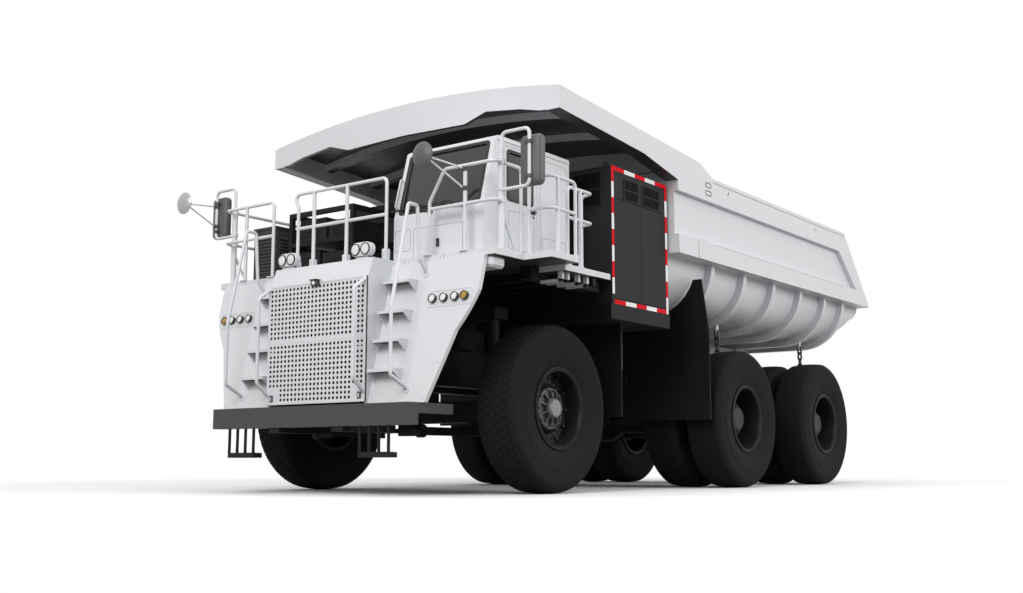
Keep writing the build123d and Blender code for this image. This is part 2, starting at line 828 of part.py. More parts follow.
def round_mirrors():
    """A round mirror ahead of the right hoop and one ahead of the left front rail."""
    right_x = -(mirror_x + mirror_width / 2 - round_mirror_radius)
    hoop_face = mirror_post_y - tube_radius - clamp_depth / 2
    right_feet = [(-hoop_reach, hoop_face, 3640), (-hoop_reach, hoop_face, 3920)]
    right = round_mirror((right_x, front_axle_y - 1984, 3870), right_feet)
    post_face = deck_front_y + rail_inset - post_radius - clamp_depth / 2
    left_feet = [(front_post_x, post_face, 3510), (front_post_x, post_face, 3740)]
    left = round_mirror((1690, front_axle_y - 2080, 3831), left_feet)
    return Compound(right.solids() + left.solids())


def cab_outline(inset):
    """The cab's side outline, drawn in from its outer faces."""
    lean = atan2(cab_brow[0] - cab_front_y, cab_brow[1] - cab_sill_z)
    drop = inset * tan(lean / 2)
    brow_slope = atan2(cab_roof_z - cab_brow[1], 60)
    brow = inset * tan((radians(90) - lean - brow_slope) / 2)
    lean_y, lean_z = sin(lean), cos(lean)
    return [
        (cab_front_y + inset, deck_top_z + inset),
        (cab_front_y + inset, cab_sill_z - drop),
        (cab_brow[0] + inset * lean_z - brow * lean_y, cab_brow[1] - inset * lean_y - brow * lean_z),
        (cab_brow[0] + 60 + inset / 2, cab_roof_z - inset),
        (cab_back_y - inset, cab_roof_z - inset),
        (cab_back_y - inset, deck_top_z + inset),
    ]


def windscreen_plane():
    """A plane in the middle of the raked front wall, X across and Y up the slope."""
    lean = atan2(cab_brow[0] - cab_front_y, cab_brow[1] - cab_sill_z)
    y = (cab_front_y + cab_brow[0]) / 2 + cab_wall / 2 * cos(lean)
    z = (cab_sill_z + cab_brow[1]) / 2 - cab_wall / 2 * sin(lean)
    x = (cab_inner_x + cab_outer_x) / 2
    return Plane(origin=(x, y, z), x_dir=(1, 0, 0), z_dir=(0, -cos(lean), sin(lean)))


def windscreen(thick):
    """The windscreen's opening, or its pane, of a given thickness."""
    height = sqrt((cab_brow[0] - cab_front_y) ** 2 + (cab_brow[1] - cab_sill_z) ** 2)
    width = cab_outer_x - cab_inner_x - 2 * cab_wall - 70
    return windscreen_plane() * Box(width, height - 110, thick)


def cab_windows(thick):
    """The openings, or panes, of the cab's fixed windows."""
    z = (window_bottom_z, window_top_z)
    right_x = about(cab_inner_x + cab_wall / 2, thick / 2)
    right = block(right_x, (cab_front_y + 420, cab_back_y - 200), z)
    back_y = about(cab_back_y - cab_wall / 2, thick / 2)
    back = block((cab_inner_x + 200, cab_outer_x - 200), back_y, z)
    return [windscreen(thick), right, back]


def cab_hinge(radius, depth):
    """The pins, or holes, of the door's upright hinge at its front edge."""
    place = (cab_outer_x - hinge_inset, door_front_y + swing_gap + hinge_inset)
    return hinge_pins(*place, (door_bottom_z, door_top_z), radius, depth)


def door_window(thick):
    """The door's window, or its pane."""
    x = about(cab_outer_x - cab_wall / 2, thick / 2)
    return block(x, (door_front_y + 60, door_front_y + door_width - 110), (window_bottom_z, window_top_z))


def cab_shell():
    """The cab's hollow shell, with its windows and the doorway cut."""
    outer = side_plate(cab_outline(0), (cab_inner_x, cab_outer_x))
    inner = side_plate(cab_outline(cab_wall), (cab_inner_x + cab_wall, cab_outer_x - cab_wall))
    shell = outer - inner
    for opening in cab_windows(2 * cab_wall):
        shell = shell - opening
    doorway_y = (door_front_y, door_front_y + door_width)
    doorway_x = (cab_outer_x - 2 * cab_wall, cab_outer_x + cab_wall)
    shell = shell - block(doorway_x, doorway_y, (door_bottom_z, door_top_z))
    return fused([shell, *cab_hinge(hinge_radius, swing_gap + hinge_depth)])


def cab_glass():
    """The panes of the fixed windows."""
    return Compound([solid for pane in cab_windows(glass_thick) for solid in pane.solids()])


def cab_door():
    """The door's leaf with its window cut, hinged at its front edge."""
    gap = swing_gap
    y = (door_front_y + gap, door_front_y + door_width - gap)
    leaf = block((cab_outer_x - cab_wall, cab_outer_x), y, (door_bottom_z + gap, door_top_z - gap))
    leaf = leaf - door_window(2 * cab_wall)
    for hole in cab_hinge(hinge_radius + running_gap, gap + hinge_depth + gap):
        leaf = leaf - hole
    return leaf


def cab_seat():
    """The driver's seat on its pedestal."""
    x = (cab_inner_x + cab_outer_x) / 2
    y = front_axle_y - 350
    floor = deck_top_z + cab_wall
    base = block(about(x, 170), about(y, 190), (floor, floor + 330))
    cushion = block(about(x, 250), about(y, 250), (floor + 330, floor + 450))
    back = block(about(x, 240), (y + 180, y + 300), (floor + 450, floor + 1080))
    return fused([base, cushion, back])


def cab_dash():
    """The dash across the cab's front with the steering column and wheel."""
    floor = deck_top_z + cab_wall
    x = (cab_inner_x + cab_outer_x) / 2
    dash_x = (cab_inner_x + cab_wall, cab_outer_x - cab_wall)
    front = cab_front_y + cab_wall
    dash = block(dash_x, (front, front + 240), (floor, cab_sill_z - 60))
    hub = Vector(x, front + 470, floor + 720)
    foot = Vector(x, front + 200, floor + 380)
    column = bar(tuple(foot), tuple(hub), 40)
    place = Plane(origin=hub, z_dir=hub - foot)
    ring = place * Torus(210, 17)
    spokes = place * Box(410, 40, 18)
    return fused([dash, column, ring, spokes])


def louvre_box():
    """The louvred equipment box on the right deck."""
    return block(louvre_box_x, louvre_box_y, (deck_top_z, deck_top_z + louvre_box_height))


def rack_frame():
    """An open rack of square bars on the right deck, behind the hood."""
    low, high = deck_top_z, deck_top_z + rack_height
    x_low, x_high = rack_x
    y_low, y_high = rack_y
    posts = [
        block((x, x + rack_bar), (y, y + rack_bar), (low, high))
        for x in (x_low, x_high - rack_bar)
        for y in (y_low, y_high - rack_bar)
    ]
    levels = (low + rack_height / 2, high - rack_bar)
    along = [
        block((x, x + rack_bar), (y_low, y_high), (z, z + rack_bar))
        for x in (x_low, x_high - rack_bar)
        for z in levels
    ]
    across = [
        block((x_low, x_high), (y, y + rack_bar), (z, z + rack_bar))
        for y in (y_low, y_high - rack_bar)
        for z in levels
    ]
    return fused([*posts, *along, *across])


def cabinet_doorways():
    """The low and high ends along Y of the two doorways in the cabinet's side."""
    middle = (cabinet_front_y + cabinet_back_y) / 2
    first = (cabinet_front_y + cabinet_post, middle)
    second = (middle, cabinet_back_y - cabinet_post)
    return [first, second]


def cabinet_hinge(index, radius, depth):
    """The pins, or holes, of a left door's hinge, at its front edge for index 0 and its back edge for 1."""
    low, high = cabinet_doorways()[index]
    inset = swing_gap + hinge_inset
    y = low + inset if index == 0 else high - inset
    door_z = (tray_top_z + cabinet_door_low, cabinet_door_top_z)
    return hinge_pins(cabinet_half - hinge_inset, y, door_z, radius, depth)


def battery_cabinet():
    """The full-width cabinet, hollow, with a doorway in each side under the vent panel."""
    y = (cabinet_front_y, cabinet_back_y)
    outer = block((-cabinet_half, cabinet_half), y, (tray_top_z, cabinet_top_z))
    wall = cabinet_wall
    inside_x = (-cabinet_half + wall, cabinet_half - wall)
    inner = block(inside_x, (y[0] + wall, y[1] - wall), (tray_top_z + wall, cabinet_top_z - wall))
    first, second = cabinet_doorways()
    door_z = (tray_top_z + cabinet_door_low, cabinet_door_top_z)
    doorway = block((-cabinet_half - wall, cabinet_half + wall), (first[0], second[1]), door_z)
    depth = swing_gap + hinge_depth
    left_pins = [pin for index in (0, 1) for pin in cabinet_hinge(index, hinge_radius, depth)]
    return fused([outer - inner - doorway, *left_pins, *[mirrored(pin) for pin in left_pins]])


def battery_tray():
    """The tray that carries the cabinet on the frame's pedestals."""
    return block((-cabinet_half, cabinet_half), tray_y, (tray_bottom_z, tray_top_z))


def battery_block():
    """The batteries, one plain block standing in the cabinet."""
    gap = battery_gap
    half = cabinet_half - cabinet_wall - gap
    y = (cabinet_front_y + cabinet_wall + gap, cabinet_back_y - cabinet_wall - gap)
    return block((-half, half), y, (tray_top_z + cabinet_wall, cabinet_top_z - cabinet_wall - gap))


def cabinet_door(index):
    """One leaf of the left side's doors; index 0 is hinged at the front and 1 at the back."""
    low, high = cabinet_doorways()[index]
    hinge_gap, meeting_gap = swing_gap, swing_gap / 2
    y = (low + hinge_gap, high - meeting_gap) if index == 0 else (low + meeting_gap, high - hinge_gap)
    z = (tray_top_z + cabinet_door_low + swing_gap, cabinet_door_top_z - swing_gap)
    leaf = block((cabinet_half - cabinet_wall, cabinet_half), y, z)
    for hole in cabinet_hinge(index, hinge_radius + running_gap, 2 * swing_gap + hinge_depth):
        leaf = leaf - hole
    return leaf


def front_axle():
    """The beam between the kingpins, with a kingpin at each end and a link to the frame each side."""
    y = about(front_axle_y, axle_half_depth)
    beam = block((-kingpin_x, kingpin_x), y, (axle_bottom_z, axle_top_z))
    boss_z = (axle_bottom_z, axle_top_z)
    boss = bar((kingpin_x, front_axle_y, boss_z[0]), (kingpin_x, front_axle_y, boss_z[1]), axle_half_depth)
    pin_z_range = (axle_bottom_z - fork_height, axle_top_z + fork_height)
    pin_low, pin_high = [(kingpin_x, front_axle_y, z) for z in pin_z_range]
    pin = bar(pin_low, pin_high, kingpin_radius)
    link_x_range = about(link_x, 40)
    link = block(link_x_range, (link_eye_y, front_axle_y), about(link_z, 50))
    eye = bar((link_x - 40, link_eye_y, link_z), (link_x + 40, link_eye_y, link_z), 80)
    drop = block(link_x_range, about(front_axle_y, axle_half_depth), (link_z - 50, axle_bottom_z + 20))
    side = fused([boss, pin, link, eye, drop])
    return fused([beam, side, mirrored(side)])


def front_struts():
    """An upright strut each side between the axle beam and the frame's bracket."""
    middle_z = (axle_top_z + strut_top_z) / 2
    lower = bar((strut_x, front_axle_y, axle_top_z), (strut_x, front_axle_y, middle_z), strut_radius)
    upper = bar((strut_x, front_axle_y, middle_z), (strut_x, front_axle_y, strut_top_z), strut_radius - 30)
    return pair(fused([lower, upper]))


def knuckle():
    """The left knuckle: a fork on the kingpin, the wheel's spindle and the steering arm."""
    low = (axle_bottom_z - fork_height, axle_bottom_z - swing_gap)
    high = (axle_top_z + swing_gap, axle_top_z + fork_height)
    neck = kingpin_x + axle_half_depth + 20
    radius = axle_half_depth - 10
    ears = [bar((kingpin_x, front_axle_y, a), (kingpin_x, front_axle_y, b), radius) for a, b in (low, high)]
    arms = [block((kingpin_x, neck + 60), about(front_axle_y, radius), ear) for ear in (low, high)]
    web = block((neck, neck + 60), about(front_axle_y, radius), (low[0], high[1]))
    spindle_end = front_wheel_x + 148
    spindle = bar((neck, front_axle_y, axle_z), (spindle_end, front_axle_y, axle_z), spindle_radius)
    joint_x, joint_y = kingpin_x, front_axle_y + arm_reach
    steering = block(about(joint_x, 60), (front_axle_y, joint_y + 50), (arm_z - 40, arm_z))
    lift = block(about(kingpin_x, 60), about(front_axle_y, radius - 30), (arm_z - 40, low[0] + 20))
    ball = bar((joint_x, joint_y, arm_z - 20), (joint_x, joint_y, arm_z + 90), 24)
    pin_length = axle_top_z - axle_bottom_z + 4 * fork_height
    hole = Pos(kingpin_x, front_axle_y, (axle_bottom_z + axle_top_z) / 2)
    body = fused([*ears, *arms, web, spindle, steering, lift, ball])
    return body - hole * Cylinder(kingpin_radius + running_gap, pin_length)


def tie_rod():
    """The rod between the two steering arms, with an eye at each end."""
    joint_x, joint_y = kingpin_x, front_axle_y + arm_reach
    z = arm_z + 45
    rod = bar((-joint_x, joint_y, z), (joint_x, joint_y, z), 32)
    eyes = [Pos(x, joint_y, z) * Cylinder(52, 74) for x in (-joint_x, joint_x)]
    holes = [
        Pos(joint_x, joint_y, z) * Cylinder(24 + running_gap, 200),
        Pos(-joint_x, joint_y, z) * Cylinder(24 + 2 * loose_gap, 200),
    ]
    shape = fused([rod, *eyes])
    for hole in holes:
        shape = shape - hole
    return shape


def rear_axle(y):
    """A housing with its round middle, a spindle each side and the struts to the frame."""
    reach = outer_wheel_x + 50
    neck = sqrt(banjo_radius**2 - housing_radius**2)
    ends = Polyline((neck, housing_radius), (housing_half, housing_radius), (housing_half, spindle_radius))
    tip = Polyline((housing_half, spindle_radius), (reach, spindle_radius), (reach, 0))
    half = [ends, tip]
    other = [mirror(curve, about=Plane.YZ) for curve in half]
    middle = ThreePointArc((-neck, housing_radius), (0, banjo_radius), (neck, housing_radius))
    housing = turned_face(outline(middle, *half, *other, Line((-reach, 0), (reach, 0))))
    reach_x = rear_strut_x + rear_strut_radius + 10
    tube = bar((-reach_x, y, axle_z), (reach_x, y, axle_z), housing_radius + weld_gap)
    low, high = axle_z + housing_radius / 2, rail_top_z - 220
    struts = [bar((x, y, low), (x, y, high), rear_strut_radius) - tube for x in (-rear_strut_x, rear_strut_x)]
    return [Pos(0, y, axle_z) * housing, *struts]


def rear_axles():
    """Both rear axle housings with their struts."""
    shapes = rear_axle(mid_axle_y) + rear_axle(rear_axle_y)
    return Compound([solid for shape in shapes for solid in shape.solids()])


def front_flaps():
    """A flap under the tray behind each front wheel."""
    return pair(block((flap_inner, flap_outer), (flap_y - sheet, flap_y), (flap_bottom_z, tray_bottom_z)))


def rear_guards():
    """A sheet ahead of each twin wheel, cut round the bed's belly."""
    radius = belly_radius + guard_clearance
    belly_z = belt_bottom_z - radius
    apex_x, apex_z = guard_apex
    inner_x = belly_centre_x + sqrt(radius**2 - (belt_bottom_z - apex_z) ** 2)
    start_angle = atan2(belt_bottom_z - apex_z, inner_x - belly_centre_x)
    mid_angle = (start_angle + radians(90)) / 2
    middle = (belly_centre_x + radius * cos(mid_angle), belt_bottom_z - radius * sin(mid_angle))
    face = outline(
        Polyline(
            (guard_inner, belly_z),
            (guard_inner, guard_bottom_z),
            (guard_outer, guard_bottom_z),
            (guard_outer, guard_shoulder_z),
            (apex_x, apex_z),
            (inner_x, apex_z),
        ),
        ThreePointArc((inner_x, apex_z), middle, (belly_centre_x, belly_z)),
        Line((belly_centre_x, belly_z), (guard_inner, belly_z)),
    )
    return pair(front_prism(face, (guard_y, guard_y + sheet)))


def belly_face(radius, top_z, half):
    """The filled section under a bed wall: flat floor, round corners, straight sides up to top_z."""
    low = belt_bottom_z - radius
    side = belly_centre_x + radius
    corner = radius * sin(radians(45))
    turn = (belly_centre_x + corner, belt_bottom_z - corner)
    left = ThreePointArc((-side, belt_bottom_z), (-turn[0], turn[1]), (-belly_centre_x, low))
    right = ThreePointArc((belly_centre_x, low), turn, (side, belt_bottom_z))
    floor = Line((-belly_centre_x, low), (belly_centre_x, low))
    if half is None:
        return outline(left, floor, right, Line((side, belt_bottom_z), (-side, belt_bottom_z)))
    rise = Polyline((side, belt_bottom_z), *half, top_z)
    fall = Polyline(*[(-x, z) for x, z in [top_z, *reversed(half), (side, belt_bottom_z)]])
    return outline(left, floor, right, rise, Line(top_z, (-top_z[0], top_z[1])), fall)


def bed_shell():
    """The bed's walls, floor and ribs: a round-bellied trough with a raised tail, open at top and back."""
    recess = bed_half - panel_recess
    inside = bed_half - panel_recess - bed_wall
    high = shoulder_z + 200
    outer_side = [(bed_half, belt_bottom_z), (bed_half, belt_top_z), (recess, belt_top_z)]
    outer_side += [(recess, rail_low_z), (bed_half, rail_low_z)]
    outer_section = belly_face(belly_radius, (bed_half, high), outer_side)
    inner_section = belly_face(belly_radius - bed_wall, (inside, high + 200), [(inside, belt_top_z)])
    toe, heel = (bed_toe_y, belly_bottom_z), (bed_heel_y, belly_bottom_z)
    front_high = shoulder_z + canopy_slope * (shoulder_y - bed_front_y)
    top = [
        (tail_top_y, bed_top_z),
        (shoulder_end_y, bed_top_z),
        (shoulder_y, shoulder_z),
        (bed_front_y, front_high),
        (bed_front_y, belt_bottom_z),
        toe,
    ]
    tip = (tail_tip_y, tail_tip_z)
    chord = Vector(*tip) - Vector(*tail_under)
    outward = Vector(chord.Y, -chord.X).normalized()
    bulge = (Vector(*tip) + Vector(*tail_under)) / 2 + outward * tail_round
    outer_side_face = outline(
        Polyline(toe, heel, tail_under),
        ThreePointArc(tail_under, (bulge.X, bulge.Y), tip),
        Polyline(tip, *top),
    )
    ramp = atan2(tail_under[1] - belly_bottom_z, tail_under[0] - bed_heel_y)
    floor_z = belly_bottom_z + bed_wall
    inner_heel = (bed_heel_y - bed_wall * tan(ramp / 2), floor_z)
    far = 2000
    inner_tail = (inner_heel[0] + far * cos(ramp), inner_heel[1] + far * sin(ramp))
    lean = atan2(bed_toe_y - bed_front_y, belt_bottom_z - belly_bottom_z)
    inner_front = bed_front_y + bed_wall
    inner_toe_z = belt_bottom_z + bed_wall * tan(lean / 2)
    inner_toe_y = inner_front + (inner_toe_z - floor_z) * tan(lean)
    inner_side_face = outline(
        Polyline(
            (inner_toe_y, floor_z),
            inner_heel,
            inner_tail,
            (inner_tail[0], high + 400),
            (inner_front, high + 400),
            (inner_front, inner_toe_z),
            close=True,
        )
    )
    span = (bed_front_y - 50, tail_tip_y + 50)
    wide = (-bed_half - 50, bed_half + 50)
    outer = front_prism(outer_section, span) & side_prism(outer_side_face, wide)
    inner = front_prism(inner_section, (span[0], span[1] + far)) & side_prism(inner_side_face, wide)
    rib_face = belly_face(rib_radius, None, None) - belly_face(belly_radius - bed_wall / 2, None, None)
    ribs = [front_prism(rib_face, about(y, rib_width / 2)) for y in rib_ys]
    shell = (outer - inner).fuse(*ribs)
    return shell - inner


def canopy_top(y):
    """The canopy's crown and side heights at a place along the truck."""
    fall = canopy_slope * (y - canopy_front_y)
    return canopy_crown_z - fall, canopy_side_z - fall


def canopy_slice(y, top_drop, low_drop, half):
    """An arched band under the canopy's top line at a place along the truck."""
    crown, side = canopy_top(y)
    high = [(-half, side - top_drop), (0, crown - top_drop), (half, side - top_drop)]
    low = [(half, side - low_drop), (0, crown - low_drop), (-half, side - low_drop)]
    return outline(
        ThreePointArc(*high),
        Line(high[2], low[0]),
        ThreePointArc(*low),
        Line(low[2], high[0]),
    )


def canopy_band(y, top_drop, low_drop, half):
    """A cross member of the canopy, arched as its top."""
    return front_prism(canopy_slice(y[0], top_drop, low_drop, half), y)


def bed_canopy():
    """The canopy: an arched plate that falls towards the back, side beams, cross ribs and the front lip."""
    inner = bed_half - canopy_beam / 2
    start = Plane(origin=(0, canopy_front_y, 0), x_dir=(1, 0, 0), z_dir=(0, -1, 0))
    arch = start * canopy_slice(canopy_front_y, 0, canopy_plate, inner)
    length = bed_front_y - canopy_front_y
    plate = extrude(arch, amount=sqrt(1 + canopy_slope**2) * length, dir=(0, 1, -canopy_slope))
    back_side = canopy_top(bed_front_y)[1]
    beam_edge = [
        (canopy_front_y, canopy_side_z),
        (bed_front_y, back_side),
        (bed_front_y, canopy_kink[1] - (bed_front_y - canopy_kink[0]) * 0.19),
        canopy_kink,
        (canopy_front_y, canopy_side_z - canopy_beam_drop),
    ]
    beam = side_plate(beam_edge, (bed_half - canopy_beam, bed_half))
    ribs = [canopy_band(about(y, 70), canopy_plate / 2, canopy_rib_drop, inner) for y in canopy_rib_ys]
    dip = [(2230, 4628), (1930, 4700), (1390, 4768), (1040, 4664), (0, 4693)]
    low_edge = [(bed_half, canopy_side_z - canopy_beam_drop), *dip]
    low_edge += [(-x, z) for x, z in reversed(low_edge[:-1])]
    arc = ThreePointArc((-bed_half, canopy_side_z), (0, canopy_crown_z), (bed_half, canopy_side_z))
    lip_face = outline(arc, Polyline((bed_half, canopy_side_z), *low_edge, (-bed_half, canopy_side_z)))
    lip = front_prism(lip_face, (canopy_front_y, canopy_front_y + lip_thick))
    bulkhead_y = (bed_front_y - bed_wall, bed_front_y)
    crown, side = canopy_top(bed_front_y)
    wall_top = ThreePointArc((-inner, side - 20), (0, crown - 20), (inner, side - 20))
    wall_z = bed_top_z - 60
    wall_low = Polyline((inner, side - 20), (inner, wall_z), (-inner, wall_z), (-inner, side - 20))
    bulkhead = front_prism(outline(wall_top, wall_low), bulkhead_y)
    return fused([plate, beam, mirrored(beam), *ribs, lip, bulkhead])


def bed_sills():
    """Two sills under the belly with the pivot ears and the hoists' cross beam."""
    sill_end = bed_pivot_y - pivot_boss - 20
    sill = block((rail_inner, rail_outer), (bed_toe_y + 120, sill_end), (sill_bottom_z, rib_bottom_z))
    bridge_z = (bed_pivot_z + pivot_boss + 20, rib_bottom_z)
    bridge_x = (rail_inner - ear_gap - ear_thick, rail_outer + ear_gap + ear_thick)
    bridge = block(bridge_x, (sill_end - 200, bed_pivot_y + pivot_boss), bridge_z)
    ears = []
    for low in (rail_inner - ear_gap - ear_thick, rail_outer + ear_gap):
        x = (low, low + ear_thick)
        ring = bar((x[0], bed_pivot_y, bed_pivot_z), (x[1], bed_pivot_y, bed_pivot_z), pivot_boss - 10)
        stem = block(x, about(bed_pivot_y, pivot_boss - 10), (bed_pivot_z, bridge_z[0] + 20))
        ears.append(ring.fuse(stem))
    hole_ends = [(x, bed_pivot_y, bed_pivot_z) for x in (0, 2 * rail_outer)]
    hole = bar(*hole_ends, pivot_radius + running_gap)
    side = fused([sill, bridge, *ears]) - hole
    beam_reach = hoist_x + eye_width / 2 + swing_gap + 40
    beam_z = (hoist_high_z + eye_radius + 30, belly_bottom_z)
    beam = block((0, beam_reach), about(hoist_y, 100), beam_z)
    lug_z = (hoist_high_z - eye_radius, beam_z[0] + 10)
    offset = eye_width / 2 + swing_gap
    lugs = [
        block((x, x + 34), about(hoist_y, 90), lug_z)
        for x in (hoist_x + offset, hoist_x - offset - 34)
    ]
    side = fused([side, beam, *lugs])
    return side.fuse(mirrored(side))


def hoist_barrels():
    """The hoists' barrels, each with an eye on the frame's pin."""
    x = about(hoist_x, 70)
    eye = bar((x[0], hoist_y, hoist_low_z), (x[1], hoist_y, hoist_low_z), hoist_radius)
    top = hoist_low_z + 1130
    tube = bar((hoist_x, hoist_y, hoist_low_z), (hoist_x, hoist_y, top), hoist_radius)
    bore = bar((hoist_x, hoist_y, hoist_low_z + 150), (hoist_x, hoist_y, top + 10), stage_radius + loose_gap)
    hole_x = about(hoist_x, hoist_radius + 10)
    hole = bar((hole_x[0], hoist_y, hoist_low_z), (hole_x[1], hoist_y, hoist_low_z), hoist_pin + running_gap)
    return pair(eye.fuse(tube) - bore - hole)


def hoist_stages():
    """The hoists' middle stages."""
    low, high = hoist_low_z + 160, hoist_low_z + 1200
    tube = bar((hoist_x, hoist_y, low), (hoist_x, hoist_y, high), stage_radius)
    bore = bar((hoist_x, hoist_y, low + 20), (hoist_x, hoist_y, high + 10), rod_radius + loose_gap)
    return pair(tube - bore)


def hoist_rods():
    """The hoists' rods, each with an eye between the bed's lugs."""
    low = hoist_low_z + 190
    rod = bar((hoist_x, hoist_y, low), (hoist_x, hoist_y, hoist_high_z), rod_radius)
    half = eye_width / 2
    eye = bar((hoist_x - half, hoist_y, hoist_high_z), (hoist_x + half, hoist_y, hoist_high_z), eye_radius)
    return pair(rod.fuse(eye))


def chain_ring(y, z, across):
    """One flat link of the chain, standing across or along the truck."""
    wide = chain_link * 0.62
    ring = SlotOverall(chain_link, wide) - SlotOverall(chain_link - 2 * chain_bar, wide - 2 * chain_bar)
    solid = extrude(Rot(0, 0, 90) * ring, amount=chain_bar / 2, both=True)
    upright = Rot(90, 0, 0) * solid
    turn = 0 if across else 90
    return Pos(dual_gap_x, y, z) * (Rot(0, 0, turn) * upright)


def ejectors(rib):
    """A rock ejector each side: a fork on the bed's lug, a short chain and a bar between the twin tyres."""
    y = rib_ys[rib]
    pin = bar((dual_gap_x - 36, y, pin_z), (dual_gap_x + 36, y, pin_z), 18)
    cheeks = [
        block((x, x + 18), about(y, 26), (pin_z - 100, pin_z + 26))
        for x in (dual_gap_x - 36, dual_gap_x + 18)
    ]
    yoke = block(about(dual_gap_x, 36), about(y, 26), (pin_z - 110, pin_z - 80))
    pitch = chain_link - 1.6 * chain_bar
    start = pin_z - 110 - chain_link / 2 + 12
    links = [chain_ring(y, start - index * pitch, index % 2 == 0) for index in range(4)]
    bar_top = start - 3 * pitch - chain_link / 2 + 14
    weight = block(about(dual_gap_x, 34), about(y, 45), (ejector_bottom_z, bar_top))
    return pair(fused([pin, *cheeks, yoke, *links, weight]))


def ejector_lugs():
    """The lugs under the bed that the ejectors hang from."""
    lugs = []
    for rib in ejector_ribs:
        y = rib_ys[rib]
        plate = block(about(dual_gap_x, 12), about(y, 30), (pin_z - 30, belt_bottom_z - 640))
        hole = bar((dual_gap_x - 50, y, pin_z), (dual_gap_x + 50, y, pin_z), 18 + loose_gap)
        lugs += [plate - hole, mirrored(plate - hole)]
    return lugs


def placed(wheel, x, y):
    """A wheel drawn about the X axis, moved to its axle; its outer side faces away from the truck."""
    spot = Pos(abs(x), y, axle_z) * wheel
    return spot if x > 0 else mirrored(spot)


def wheel_nodes():
    """Tyres and rims of the front wheels and of the twin rear wheels."""
    nodes = {}
    one_tyre, front, twin_rims = tyre(), front_rim(), rear_rims()
    half = dual_spacing / 2
    twin = Compound((Pos(half, 0, 0) * one_tyre).solids() + (Pos(-half, 0, 0) * one_tyre).solids())
    for side, sign in (("left", 1), ("right", -1)):
        nodes[f"front_tyre_{side}"] = placed(one_tyre, sign * front_wheel_x, front_axle_y)
        nodes[f"front_rim_{side}"] = placed(front, sign * front_wheel_x, front_axle_y)
        for axle, y in (("mid", mid_axle_y), ("rear", rear_axle_y)):
            nodes[f"{axle}_tyres_{side}"] = placed(twin, sign * dual_gap_x, y)
            nodes[f"{axle}_rims_{side}"] = placed(twin_rims, sign * dual_gap_x, y)
    return nodes


def all_nodes():
    """Every node of the truck by name."""
    left_knuckle = knuckle()
    nodes = {
        "frame": frame(),
        "bumper": bumper(),
        "bumper_steps": bumper_steps(),
        "grille": grille(),
        "radiator_housing": radiator_housing(),
        "cooling_pack": cooling_pack(),
        "drive_motor": drive_motor(),
        "fascia": pair(fascia()),
        "headlamps": headlamps(),
        "turn_lamps": turn_lamps(),
        "work_lamps": work_lamps(),
        "ladder_steps": ladder_steps(),
        "ladder_rails": ladder_rails(),
        "deck": deck(),
        "deck_rails": deck_rails(),
        "mirror_arms": mirror_arms(),
        "mirrors": Compound(mirror_housings().solids() + round_mirrors().solids()),
        "cab_shell": cab_shell(),
        "cab_glass": cab_glass(),
        "cab_seat": cab_seat(),
        "cab_dash": cab_dash(),
        "cab_door": cab_door(),
        "cab_door_glass": door_window(glass_thick),
        "louvre_box": louvre_box(),
        "rack_frame": rack_frame(),
        "battery_cabinet": battery_cabinet(),
        "battery_tray": battery_tray(),
        "battery_block": battery_block(),
        "front_axle": front_axle(),
        "front_struts": front_struts(),
        "knuckle_left": left_knuckle,
        "knuckle_right": mirrored(left_knuckle),
        "tie_rod": tie_rod(),
        "rear_axles": rear_axles(),
        "guards": Compound(front_flaps().solids() + rear_guards().solids()),
        "bed_shell": bed_shell().fuse(*ejector_lugs()),
        "bed_canopy": bed_canopy(),
        "bed_sills": bed_sills(),
        "hoist_barrels": hoist_barrels(),
        "hoist_stages": hoist_stages(),
        "hoist_rods": hoist_rods(),
    }
    for index, name in enumerate(("front", "back")):
        leaf = cabinet_door(index)
        nodes[f"cabinet_door_{name}_left"] = leaf
        nodes[f"cabinet_door_{name}_right"] = mirrored(leaf)
    for rib, name in zip(ejector_ribs, ("mid", "rear")):
        nodes[f"ejectors_{name}"] = ejectors(rib)
    nodes.update(wheel_nodes())
    return nodes


os.makedirs("parts", exist_ok=True)
for name, shape in all_nodes().items():
    export_step(shape, f"parts/{name}.step")
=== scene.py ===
"""The looks of a three-axle mining dump truck: dressed wheels, lamps, glass, vents, seams, fixings and paint.

Metres, in the part's own frame: X is across (+X is the truck's left), the front is -Y and Z is up.
"""

from math import atan2, cos, exp, pi, radians, sin, sqrt, tau

import bmesh
import bpy
from mathutils import Matrix, Vector


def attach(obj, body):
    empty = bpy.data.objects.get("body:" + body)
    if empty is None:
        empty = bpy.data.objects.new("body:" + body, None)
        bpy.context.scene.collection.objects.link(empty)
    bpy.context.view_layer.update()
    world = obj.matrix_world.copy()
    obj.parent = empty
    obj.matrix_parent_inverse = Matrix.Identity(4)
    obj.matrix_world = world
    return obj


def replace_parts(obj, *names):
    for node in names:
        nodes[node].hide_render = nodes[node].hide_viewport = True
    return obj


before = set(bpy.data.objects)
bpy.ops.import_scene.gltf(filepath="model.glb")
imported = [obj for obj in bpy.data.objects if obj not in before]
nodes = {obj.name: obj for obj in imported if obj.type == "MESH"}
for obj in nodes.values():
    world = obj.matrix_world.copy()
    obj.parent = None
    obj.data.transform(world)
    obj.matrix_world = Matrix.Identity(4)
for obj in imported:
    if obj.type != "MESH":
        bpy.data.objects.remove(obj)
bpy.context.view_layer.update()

# Places, directions and sizes shared by many pieces
FRONT = -3.8205
MID = FRONT + 4.519
REAR = MID + 3.036
AXLE_Z = 1.025
SIDES = (("left", 1), ("right", -1))
SIGNS = (1, -1)
ACROSS = (1, 0, 0)
AHEAD = (0, -1, 0)
BACK = (0, 1, 0)
UP = (0, 0, 1)
SMALL_BOLT = 0.007
BOLT = 0.008
LARGE_BOLT = 0.010
EDGE = 0.003


# Mesh building

